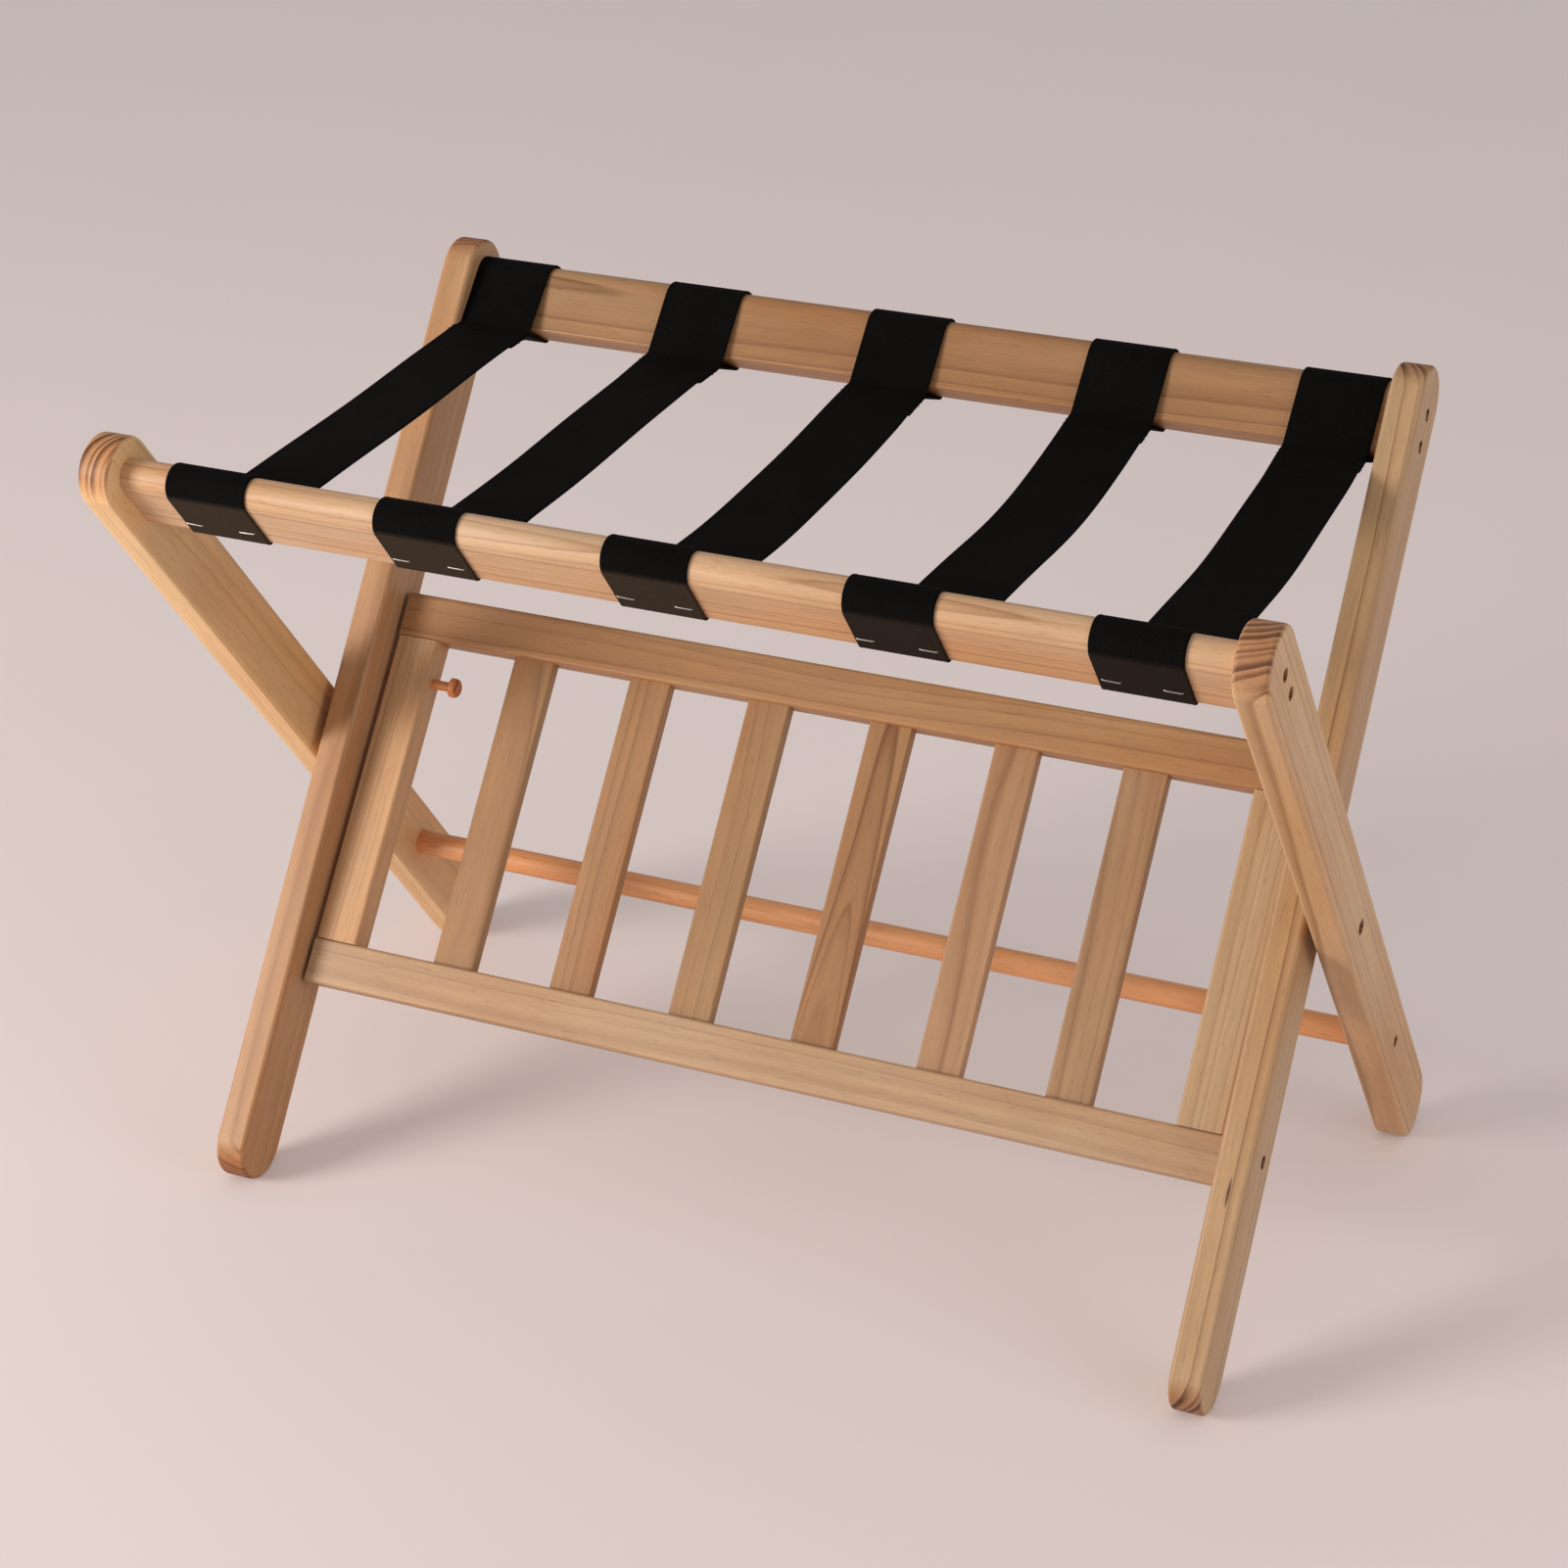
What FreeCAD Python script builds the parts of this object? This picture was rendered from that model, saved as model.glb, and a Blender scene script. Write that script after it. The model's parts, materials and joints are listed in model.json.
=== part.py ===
import FreeCAD, Part
import math
import os

from FreeCAD import Placement, Rotation, Vector

# A folding luggage rack: two crossed frames of flat bars with round ends, hinged where they
# cross, with webbing straps between their top rails and a slatted shelf between the inner legs.
# X runs along the rails, Y from front to back, Z up. The origin is on the floor, midway
# between the four feet. "Along" is measured up a leg from the crossing, "across" at right
# angles to it, towards the back.

# ---- Driving dimensions, mm and degrees ----------------------------------------------------

overall_width = 680.0
leg_lean = 37.25

# Legs
leg_width = 44.0
leg_thickness = 20.0
leg_above_pivot = 323.0
leg_below_pivot = 282.0
leg_edge_bevel = 1.8
frame_gap = 6.0

# Top rails
rail_height = 44.0
rail_thickness = 20.0
rail_along = 289.0
rail_edge_radius = 2.0
rail_screw_spacing = 19.0
rail_screw_drop = 4.0

# Stretcher dowel between the outer legs
dowel_diameter = 16.0
dowel_along = -163.0
dowel_socket_depth = 8.0

# Shelf
shelf_hinge_along = -139.0
shelf_hinge_across = 3.0
shelf_lean_back = 1.9
shelf_side_gap = 3.0
shelf_thickness = 18.0
shelf_top_above_hinge = 232.5
shelf_bottom_below_hinge = 18.5
shelf_rail_height = 28.0
stile_width = 28.0
slat_count = 6
slat_width = 27.5
slat_thickness = 8.0
slat_edge_radius = 1.5
tenon_length = 6.0
slat_tenon_width = 22.0
stile_tenon_width = 16.0
shelf_edge_radius = 2.0

# Turned peg that locks the shelf to the left inner leg, drawn as it stands at rest
peg_diameter = 6.0
peg_above_hinge = 179.0
peg_exposed = 18.0
peg_tip_gap = 0.5
peg_travel = 11.0
peg_head_diameter = 12.0
peg_head_length = 5.0
peg_head_bevel = 1.6
peg_hole_spare = 1.5

# Webbing straps
strap_count = 5
strap_width = 50.0
strap_thickness = 1.6
strap_end_gap = 1.0
strap_sag = 9.0
strap_sag_radius = 600.0
strap_seam_below_rail = 7.0
strap_seam_past_rail = 4.0
strap_kink_radius = 4.0
strap_corner_radius = 2.5
strap_lap = 22.0

# Staples that hold the straps to the front rail
staple_crown = 10.0
staple_wire = 1.0
staple_leg = 8.0
staple_spacing = 33.0
staple_above_edge = 11.0

# Screws with socket heads, sunk below the face of the leg
head_diameter = 7.5
head_height = 3.0
head_sunk = 1.5
socket_sides = 6
socket_across_flats = 3.0
socket_depth = 1.8
wood_screw_diameter = 4.0
wood_screw_length = 45.0
pivot_diameter = 6.0
pivot_head_diameter = 9.0
pivot_bite = 14.0
spacer_diameter = 18.0
shelf_screw_diameter = 5.0
shelf_screw_bite = 22.0

# Clearances between pieces, on the radius or between faces
fixed_fit = 0.05
turning_fit = 0.05
running_gap = 0.3
peg_hole_gap = 0.3

# ---- Sizes that follow ----------------------------------------------------------------------

outer_face = overall_width / 2
outer_inside = outer_face - leg_thickness
inner_face = outer_inside - frame_gap
inner_inside = inner_face - leg_thickness
foot_centre = leg_below_pivot - leg_width / 2
pivot_height = foot_centre * math.cos(math.radians(leg_lean)) + leg_width / 2
rail_bottom = rail_along - rail_height / 2
rail_top = rail_along + rail_height / 2
crest_radius = rail_thickness / 2
crest_along = rail_top - crest_radius
shelf_face = inner_inside - shelf_side_gap
stile_inside = shelf_face - stile_width
opening_bottom = shelf_rail_height - shelf_bottom_below_hinge
opening_top = shelf_top_above_hinge - shelf_rail_height

outer_place = Placement(Vector(0, 0, pivot_height), Rotation(Vector(1, 0, 0), leg_lean))
inner_place = Placement(Vector(0, 0, pivot_height), Rotation(Vector(1, 0, 0), -leg_lean))
shelf_place = inner_place * Placement(
    Vector(0, shelf_hinge_across, shelf_hinge_along),
    Rotation(Vector(1, 0, 0), -shelf_lean_back),
)
x_axis = Vector(1, 0, 0)
z_axis = Vector(0, 0, 1)
straight_within = 1e-6


# ---- Shapes that are used more than once -----------------------------------------------------

def placed(shape, placement):
    """A copy of the shape, moved by the placement from where it is now."""
    return shape.transformed(placement.toMatrix())


def shaft(x_from, x_to, across, along, radius):
    """A round bar along X between two planes."""
    start = Vector(min(x_from, x_to), across, along)
    return Part.makeCylinder(radius, abs(x_to - x_from), start, x_axis)


def runs_along(edge, direction):
    """Whether an edge is a straight line along a direction."""
    if not isinstance(edge.Curve, Part.Line):
        return False
    return abs(edge.tangentAt(edge.FirstParameter).dot(direction)) > 1 - straight_within


def bar(x_from, x_to, y_from, y_to, z_from, z_to, radius, direction):
    """A straight bar whose four long edges are rounded."""
    block = Part.makeBox(x_to - x_from, y_to - y_from, z_to - z_from, Vector(x_from, y_from, z_from))
    return block.makeFillet(radius, [edge for edge in block.Edges if runs_along(edge, direction)])


def rounded_plate(x_from, x_to, arcs):
    """A plate between two planes, outlined by arcs that straight lines join into a ring.

    Each arc has a centre across and along, a radius, and the angles that it starts and ends at.
    """
    edges = []
    ends = []
    for across, along, radius, first, last in arcs:
        points = []
        for angle in (first, (first + last) / 2, last):
            turn = math.radians(angle)
            points.append(Vector(x_from, across + radius * math.cos(turn), along + radius * math.sin(turn)))
        edges.append(Part.Arc(*points).toShape())
        ends.append((points[0], points[-1]))
    for number, (_, leave) in enumerate(ends):
        arrive = ends[(number + 1) % len(ends)][0]
        edges.append(Part.LineSegment(leave, arrive).toShape())
    face = Part.Face(Part.Wire(Part.sortEdges(edges)[0]))
    return face.extrude(Vector(x_to - x_from, 0, 0))


# ---- Screws ----------------------------------------------------------------------------------

def cap_screw(head_width, shank_width, length):
    """A socket screw that points along -X, with the top of its head at the origin."""
    head = Part.makeCylinder(head_width / 2, head_height, Vector(-head_height, 0, 0), x_axis)
    shank = Part.makeCylinder(shank_width / 2, length - head_height, Vector(-length, 0, 0), x_axis)
    corner = socket_across_flats / 2 / math.cos(math.pi / socket_sides)
    turns = [math.tau * step / socket_sides for step in range(socket_sides + 1)]
    ring = Part.makePolygon([Vector(0, corner * math.cos(turn), corner * math.sin(turn)) for turn in turns])
    socket = Part.Face(ring).extrude(Vector(-socket_depth, 0, 0))
    return head.fuse(shank).cut(socket).removeSplitter()


def cap_screw_hole(head_width, shank_width, length, head_room, shank_room):
    """What is cut away for such a screw, out to the face that its head is sunk below."""
    head = Part.makeCylinder(head_width / 2 + head_room, head_height + head_sunk,
                             Vector(-head_height, 0, 0), x_axis)
    shank = Part.makeCylinder(shank_width / 2 + shank_room, length, Vector(-length, 0, 0), x_axis)
    return head.fuse(shank)


def driven(shape, side, face, across, along):
    """Put a screw or its hole through a leg's outer face, on the right (1) or left (-1) side."""
    if side < 0:
        shape = placed(shape, Placement(Vector(0, 0, 0), Rotation(z_axis, 180)))
    depth = face - head_sunk
    return placed(shape, Placement(Vector(side * depth, across, along), Rotation()))


def wood_screw():
    return cap_screw(head_diameter, wood_screw_diameter, wood_screw_length)


def wood_screw_hole():
    return cap_screw_hole(head_diameter, wood_screw_diameter, wood_screw_length, fixed_fit, fixed_fit)


def rail_screw_places():
    """The two screws at each end of a top rail."""
    middle = rail_along - rail_screw_drop
    return [middle - rail_screw_spacing / 2, middle + rail_screw_spacing / 2]


def pivot_length():
    return leg_thickness - head_sunk + frame_gap + pivot_bite


def shelf_screw_length():
    return leg_thickness - head_sunk + shelf_side_gap + shelf_screw_bite


# ---- Frames ----------------------------------------------------------------------------------

def plain_leg(x_from):
    """A flat bar with a full round at both ends and bevelled rims, standing on the crossing."""
    half = leg_width / 2
    leg = rounded_plate(x_from, x_from + leg_thickness, [
        (0, leg_above_pivot - half, half, 180, 0),
        (0, -foot_centre, half, 0, -180),
    ])
    return leg.makeChamfer(leg_edge_bevel, [edge for edge in leg.Edges if not runs_along(edge, x_axis)])


def outer_leg(side):
    """A leg of the outer frame, bored for the rail's screws, the stretcher and the pivot."""
    leg = plain_leg(outer_inside if side > 0 else -outer_face)
    for along in rail_screw_places():
        leg = leg.cut(driven(wood_screw_hole(), side, outer_face, 0, along))
    leg = leg.cut(driven(wood_screw_hole(), side, outer_face, 0, dowel_along))
    leg = leg.cut(shaft(side * outer_inside, side * (outer_inside + dowel_socket_depth),
                        0, dowel_along, dowel_diameter / 2 + fixed_fit))
    hole = cap_screw_hole(pivot_head_diameter, pivot_diameter, pivot_length(), running_gap, turning_fit)
    return leg.cut(driven(hole, side, outer_face, 0, 0))


def inner_leg(side):
    """A leg of the inner frame, bored for the rail's screws, the pivot and the shelf's hinge."""
    leg = plain_leg(inner_inside if side > 0 else -inner_face)
    for along in rail_screw_places():
        leg = leg.cut(driven(wood_screw_hole(), side, inner_face, 0, along))
    bite_end = inner_face - pivot_bite - fixed_fit
    leg = leg.cut(shaft(side * inner_face, side * bite_end, 0, 0, pivot_diameter / 2 + fixed_fit))
    hole = cap_screw_hole(head_diameter, shelf_screw_diameter, shelf_screw_length(),
                          running_gap, turning_fit)
    leg = leg.cut(driven(hole, side, inner_face, shelf_hinge_across, shelf_hinge_along))
    if side < 0:
        leg = leg.cut(peg_socket())
    return leg


def top_rail(half_length, holes_face):
    """A top rail with a full round crest, between the legs that its screws come through."""
    heel = rail_thickness / 2 - rail_edge_radius
    foot = rail_bottom + rail_edge_radius
    rail = rounded_plate(-half_length, half_length, [
        (0, crest_along, crest_radius, 180, 0),
        (heel, foot, rail_edge_radius, 0, -90),
        (-heel, foot, rail_edge_radius, -90, -180),
    ])
    for side in (-1, 1):
        for along in rail_screw_places():
            rail = rail.cut(driven(wood_screw_hole(), side, holes_face, 0, along))
    return rail


def stretcher_dowel():
    """A round bar let into both outer legs and held by a screw at each end."""
    reach = outer_inside + dowel_socket_depth
    dowel = shaft(-reach, reach, 0, dowel_along, dowel_diameter / 2)
    for side in (-1, 1):
        dowel = dowel.cut(driven(wood_screw_hole(), side, outer_face, 0, dowel_along))
    return dowel


def pivot_bolt(side):
    bolt = cap_screw(pivot_head_diameter, pivot_diameter, pivot_length())
    return driven(bolt, side, outer_face, 0, 0)


def pivot_spacer(side):
    """A washer as thick as the gap between the two legs."""
    ring = shaft(side * inner_face, side * outer_inside, 0, 0, spacer_diameter / 2)
    return ring.cut(shaft(side * inner_face, side * outer_inside, 0, 0, pivot_diameter / 2 + fixed_fit))


# ---- Shelf -----------------------------------------------------------------------------------
# Across and along are measured from the shelf's hinge here.

def slat_centres():
    """Slats spread evenly between the two stiles."""
    opening = 2 * stile_inside
    pitch = (opening + slat_width) / (slat_count + 1)
    first = -pitch * (slat_count - 1) / 2
    return [first + pitch * number for number in range(slat_count)]


def tenons(centre, width):
    """The core of an upright, which reaches into a mortise at both ends."""
    reach = opening_top - opening_bottom + 2 * tenon_length
    return Part.makeBox(width, slat_thickness, reach,
                        Vector(centre - width / 2, -slat_thickness / 2, opening_bottom - tenon_length))


def upright(centre, width, thickness, edge_radius, tenon_width):
    """A bar between the shelf's rails, with a stub tenon at both ends."""
    post = bar(centre - width / 2, centre + width / 2, -thickness / 2, thickness / 2,
               opening_bottom, opening_top, edge_radius, z_axis)
    return post.fuse(tenons(centre, tenon_width)).removeSplitter()


def slat(centre):
    return upright(centre, slat_width, slat_thickness, slat_edge_radius, slat_tenon_width)


def shelf_hinge_hole(side):
    hole = cap_screw_hole(head_diameter, shelf_screw_diameter, shelf_screw_length(), fixed_fit, fixed_fit)
    return driven(hole, side, inner_face, 0, 0)


def stile_centre(side):
    return side * (stile_inside + stile_width / 2)


def stile(side):
    """An outer upright of the shelf. The hinge screw goes through its foot."""
    post = upright(stile_centre(side), stile_width, shelf_thickness, shelf_edge_radius, stile_tenon_width)
    post = post.cut(shelf_hinge_hole(side))
    if side < 0:
        post = post.cut(shaft(-shelf_face, -stile_inside, 0, peg_above_hinge,
                              peg_diameter / 2 + turning_fit))
    return post


def shelf_rail(z_from, z_to):
    """A cross rail of the shelf, mortised for the slats and the two stiles."""
    half = shelf_thickness / 2
    rail = bar(-shelf_face, shelf_face, -half, half, z_from, z_to, shelf_edge_radius, x_axis)
    for centre in slat_centres():
        rail = rail.cut(tenons(centre, slat_tenon_width))
    for side in (-1, 1):
        rail = rail.cut(tenons(stile_centre(side), stile_tenon_width))
    return rail


def shelf_hinge_screw(side):
    """The screw that the shelf turns on, from outside the inner leg into the bottom rail."""
    screw = cap_screw(head_diameter, shelf_screw_diameter, shelf_screw_length())
    return driven(screw, side, inner_face, 0, 0)


def shelf_bottom_rail():
    rail = shelf_rail(-shelf_bottom_below_hinge, opening_bottom)
    for side in (-1, 1):
        rail = rail.cut(shelf_hinge_hole(side))
    return rail


def peg_socket():
    """The blind hole in the left inner leg that the peg enters, in the inner frame's own place."""
    depth = peg_travel - peg_tip_gap + peg_hole_spare
    hole = shaft(-inner_inside, -inner_inside - depth, 0, peg_above_hinge,
                 peg_diameter / 2 + peg_hole_gap)
    return placed(hole, inner_place.inverse() * shelf_place)


def lock_peg():
    """A turned peg with a bevelled head, slid through the left stile."""
    tip = -inner_inside + peg_tip_gap
    crown = -stile_inside + peg_exposed
    neck = crown - peg_head_length
    radius = peg_diameter / 2
    head = peg_head_diameter / 2
    outline = Part.makePolygon([
        Vector(tip, 0, 0), Vector(tip, 0, radius), Vector(neck, 0, radius), Vector(neck, 0, head),
        Vector(crown - peg_head_bevel, 0, head), Vector(crown, 0, head - peg_head_bevel),
        Vector(crown, 0, 0), Vector(tip, 0, 0),
    ])
    peg = Part.Face(outline).revolve(Vector(0, 0, 0), x_axis, 360)
    return placed(peg, Placement(Vector(0, 0, peg_above_hinge), Rotation()))


# ---- Straps ----------------------------------------------------------------------------------
# A strap is a ribbon of even thickness. Seen from the end it is a route of straight runs that
# meet turns: each turn is a centre, a radius and a side, 1 for a left turn and -1 for a right
# one. A turn without radius is a plain point of the route. The routes are drawn for the rear
# rail and mirrored for the front one, because the two frames lean by the same angle.

def left_of(heading):
    return Vector(0, -math.sin(heading), math.cos(heading))


def run_heading(turn, following):
    """The heading of the straight run that leaves one turn and meets the next."""
    centre, radius, side = turn
    next_centre, next_radius, next_side = following
    step = next_centre - centre
    offset = next_side * next_radius - side * radius
    return math.atan2(step.z, step.y) - math.asin(offset / step.Length)


def swing(side, into, out):
    """How far a turn swings the heading, positive to the left."""
    return side * ((side * (out - into)) % (2 * math.pi))


def ribbon_edge(turns, shift):
    """The edges of the route, moved sideways to the left by the shift."""
    headings = [run_heading(turns[place], turns[place + 1]) for place in range(len(turns) - 1)]
    edges = []
    last = None
    for number, (centre, radius, side) in enumerate(turns):
        into = headings[max(number - 1, 0)]
        out = headings[min(number, len(headings) - 1)]
        reach = shift - side * radius
        arrive = centre + left_of(into) * reach
        leave = centre + left_of(out) * reach
        if last is not None:
            edges.append(Part.LineSegment(last, arrive).toShape())
        if radius > 0:
            middle = centre + left_of(into + swing(side, into, out) / 2) * reach
            edges.append(Part.Arc(arrive, middle, leave).toShape())
        last = leave
    return edges


def ribbon(turns):
    """A ribbon of the strap's thickness and width along the route, centred on X = 0."""
    half = strap_thickness / 2
    left = ribbon_edge(turns, half)
    right = ribbon_edge(turns, -half)
    ends = []
    for place in (0, -1):
        ends.append(Part.LineSegment(left[place].Vertexes[place].Point,
                                     right[place].Vertexes[place].Point).toShape())
    face = Part.Face(Part.Wire(Part.sortEdges(left + right + ends)[0]))
    return placed(face.extrude(Vector(strap_width, 0, 0)),
                  Placement(Vector(-strap_width / 2, 0, 0), Rotation()))


def inner_point(across, along):
    return inner_place.multVec(Vector(0, across, along))


def mirrored(turns):
    """The same turns at the front of the rack, met in the opposite order."""
    return [(Vector(0, -centre.y, centre.z), radius, side) for centre, radius, side in reversed(turns)]


def kink():
    """The turn just in front of the rear rail's lower edge, where the span meets the loop."""
    across = crest_radius + strap_seam_past_rail + strap_kink_radius
    along = rail_bottom - strap_seam_below_rail + strap_kink_radius
    return inner_point(-across, along), strap_kink_radius, 1


def over_rail(gap):
    """From the kink over the rail's crest and down to the middle of its outer face."""
    reach = crest_radius + gap + strap_thickness / 2
    return [kink(), (inner_point(0, crest_along), reach, -1), (inner_point(reach, rail_along), 0, 1)]


def under_rail(gap, heading):
    """From the rail's outer face round its lower edge and back under a span of this heading."""
    kink_centre, kink_radius, _ = kink()
    up = left_of(heading)
    ahead = Vector(0, math.cos(heading), math.sin(heading))
    seam = kink_centre - up * (kink_radius + strap_thickness)
    return [
        over_rail(gap)[-1],
        (inner_point(crest_radius - rail_edge_radius, rail_bottom + rail_edge_radius),
         rail_edge_radius + gap + strap_thickness / 2, -1),
        (seam - up * strap_corner_radius, strap_corner_radius, 1),
        (seam - ahead * strap_lap, 0, 1),
    ]


def strap():
    """A strap that sags between the rails and goes round each in a loop.

    The tail of each loop is sewn to the underside of the span beside the rail. The front loop
    lies on its rail, where staples hold it, and the rear one is a little slack.
    """
    kink_centre, kink_radius, _ = kink()
    lowest = kink_centre.z - kink_radius - strap_sag
    sag = (Vector(0, 0, lowest + strap_sag_radius), strap_sag_radius, 1)
    heading = run_heading(sag, kink())
    span = ribbon(mirrored(over_rail(0)) + [sag] + over_rail(running_gap))
    front_tail = ribbon(mirrored(under_rail(0, heading)))
    rear_tail = ribbon(under_rail(running_gap, heading))
    return span.fuse([front_tail, rear_tail]).removeSplitter()


def strap_centres():
    """Straps spread evenly between the inner legs."""
    first = -inner_inside + strap_end_gap + strap_width / 2
    pitch = -2 * first / (strap_count - 1)
    return [first + pitch * number for number in range(strap_count)]


# ---- Staples ---------------------------------------------------------------------------------

def staple(centre, room):
    """A staple driven through the strap into the front rail, grown by the room all round."""
    face = -crest_radius - strap_thickness
    low = rail_bottom + staple_above_edge - room
    size = staple_wire + 2 * room
    width = staple_crown + 2 * room
    crown = Part.makeBox(width, size, size, Vector(centre - width / 2, face - staple_wire - room, low))
    shape = crown
    for left in (centre - width / 2, centre + width / 2 - size):
        leg = Part.makeBox(size, staple_wire + staple_leg + 2 * room, size,
                           Vector(left, face - staple_wire - room, low))
        shape = shape.fuse(leg)
    return shape.removeSplitter()


def staple_places():
    return [centre + side * staple_spacing / 2 for centre in strap_centres() for side in (-1, 1)]


def stapled(shape):
    """The shape with the slots that the staples' legs make in it."""
    for centre in staple_places():
        if shape.BoundBox.XMin < centre < shape.BoundBox.XMax:
            shape = shape.cut(placed(staple(centre, fixed_fit), outer_place))
    return shape


# ---- The whole rack --------------------------------------------------------------------------

def rack():
    """Every node of the rack: a name and the solids in it, in their places."""
    sides = {"left": -1, "right": 1}
    nodes = {}
    for name, side in sides.items():
        nodes["inner_leg_" + name] = [placed(inner_leg(side), inner_place)]
        nodes["outer_leg_" + name] = [placed(outer_leg(side), outer_place)]
        nodes["pivot_bolt_" + name] = [placed(pivot_bolt(side), inner_place)]
        nodes["pivot_spacer_" + name] = [placed(pivot_spacer(side), inner_place)]
        nodes["shelf_hinge_screw_" + name] = [placed(shelf_hinge_screw(side), shelf_place)]
        nodes["shelf_stile_" + name] = [placed(stile(side), shelf_place)]
    nodes["rear_rail"] = [placed(top_rail(inner_inside, inner_face), inner_place)]
    nodes["front_rail"] = [stapled(placed(top_rail(outer_inside, outer_face), outer_place))]
    nodes["stretcher_dowel"] = [placed(stretcher_dowel(), outer_place)]
    nodes["rear_rail_screws"] = [
        placed(driven(wood_screw(), side, inner_face, 0, along), inner_place)
        for side in sides.values() for along in rail_screw_places()]
    nodes["front_rail_screws"] = [
        placed(driven(wood_screw(), side, outer_face, 0, along), outer_place)
        for side in sides.values() for along in rail_screw_places()]
    nodes["stretcher_screws"] = [
        placed(driven(wood_screw(), side, outer_face, 0, dowel_along), outer_place)
        for side in sides.values()]
    nodes["shelf_bottom_rail"] = [placed(shelf_bottom_rail(), shelf_place)]
    nodes["shelf_top_rail"] = [placed(shelf_rail(opening_top, shelf_top_above_hinge), shelf_place)]
    for number, centre in enumerate(slat_centres(), 1):
        nodes["shelf_slat_%d" % number] = [placed(slat(centre), shelf_place)]
    nodes["shelf_lock_peg"] = [placed(lock_peg(), shelf_place)]
    webbing = strap()
    for number, centre in enumerate(strap_centres(), 1):
        nodes["strap_%d" % number] = [stapled(placed(webbing, Placement(Vector(centre, 0, 0), Rotation())))]
    nodes["strap_staples"] = [placed(staple(centre, 0), outer_place) for centre in staple_places()]
    return nodes


def export(nodes):
    os.makedirs("parts", exist_ok=True)
    for name, solids in nodes.items():
        shape = solids[0] if len(solids) == 1 else Part.makeCompound(solids)
        shape.exportStep("parts/%s.step" % name)


def main():
    nodes = rack()
    export(nodes)
    box = Part.makeCompound([solid for solids in nodes.values() for solid in solids]).BoundBox
    print("%d nodes, %.1f x %.1f x %.1f mm, pivot at %.2f" % (
        len(nodes), box.XLength, box.YLength, box.ZLength, pivot_height))


main()
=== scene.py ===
import json
import math
import random
from functools import partial

import bmesh
import bpy
import numpy as np
from bpy.props import FloatProperty, FloatVectorProperty, IntProperty, PointerProperty
from mathutils import Euler, Matrix, Vector


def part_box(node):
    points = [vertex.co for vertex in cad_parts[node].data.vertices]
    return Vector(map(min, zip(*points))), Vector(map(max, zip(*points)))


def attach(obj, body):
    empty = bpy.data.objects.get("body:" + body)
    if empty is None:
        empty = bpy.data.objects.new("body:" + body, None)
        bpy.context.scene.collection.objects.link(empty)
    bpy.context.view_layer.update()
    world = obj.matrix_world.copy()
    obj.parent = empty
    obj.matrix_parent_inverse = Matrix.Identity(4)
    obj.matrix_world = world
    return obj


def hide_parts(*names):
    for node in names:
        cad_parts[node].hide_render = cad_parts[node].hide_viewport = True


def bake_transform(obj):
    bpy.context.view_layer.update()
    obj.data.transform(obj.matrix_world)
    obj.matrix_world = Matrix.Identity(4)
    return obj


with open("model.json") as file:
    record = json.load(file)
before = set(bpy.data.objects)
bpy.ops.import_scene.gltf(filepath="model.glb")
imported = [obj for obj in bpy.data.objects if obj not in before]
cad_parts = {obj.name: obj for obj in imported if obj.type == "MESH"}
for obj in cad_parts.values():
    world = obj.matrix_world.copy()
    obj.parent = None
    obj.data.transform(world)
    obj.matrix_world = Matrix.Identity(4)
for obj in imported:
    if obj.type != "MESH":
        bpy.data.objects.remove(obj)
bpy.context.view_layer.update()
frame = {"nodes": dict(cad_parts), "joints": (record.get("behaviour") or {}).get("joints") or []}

bl_info = {
    "name": "Folding luggage rack",
    "version": (1, 0, 0),
    "blender": (4, 5, 0),
    "location": "3D View > Sidebar > Luggage rack",
    "description": "Dresses a folding luggage rack: lacquered pine, webbing straps, staples and screws",
    "category": "Object",
}

# X runs along the rails, Y from front to back, Z up, in metres. Two crossed frames turn on
# each other at the pivot, and the slatted shelf hangs between the inner legs.

MM = 0.001


def middle(node):
    low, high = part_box(node)
    return (low + high) / 2


def joint_place(name):
    return Vector(next(joint["pos_m"] for joint in frame["joints"] if joint["name"] == name))


PIVOT = joint_place("frame_fold")
SHELF_HINGE = joint_place("shelf_swing")
DOWEL = middle("stretcher_dowel")
PEG = middle("shelf_lock_peg")
OUTER_LEAN = math.atan2(DOWEL.y - PIVOT.y, PIVOT.z - DOWEL.z)
SHELF_LEAN = math.atan2(SHELF_HINGE.y - PEG.y, PEG.z - SHELF_HINGE.z)
OUTER_TURN = Matrix.Rotation(OUTER_LEAN, 3, "X")
INNER_TURN = Matrix.Rotation(-OUTER_LEAN, 3, "X")
SHELF_TURN = Matrix.Rotation(SHELF_LEAN, 3, "X")
LENGTHWISE = Matrix.Rotation(math.radians(90), 3, "Y")


# ---- Settings ----

def linear(hex_code):
    """An sRGB hex colour as linear red, green, blue and alpha."""
    shares = [int(hex_code[place:place + 2], 16) / 255 for place in (1, 3, 5)]
    lit = [share / 12.92 if share <= 0.04045 else ((share + 0.055) / 1.055) ** 2.4
           for share in shares]
    return (*lit, 1.0)


def colour(name, description, hex_code):
    return FloatVectorProperty(name=name, description=description, subtype="COLOR", size=4,
                               min=0, max=1, default=linear(hex_code))


def length(name, description, millimetres):
    return FloatProperty(name=name, description=description, unit="LENGTH", min=0,
                         precision=5, default=millimetres * MM)


def angle(name, description, degrees):
    return FloatProperty(name=name, description=description, subtype="ANGLE",
                         default=math.radians(degrees))


def level(name, description, default, **limits):
    return FloatProperty(name=name, description=description, min=0, default=default, **limits)


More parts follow.
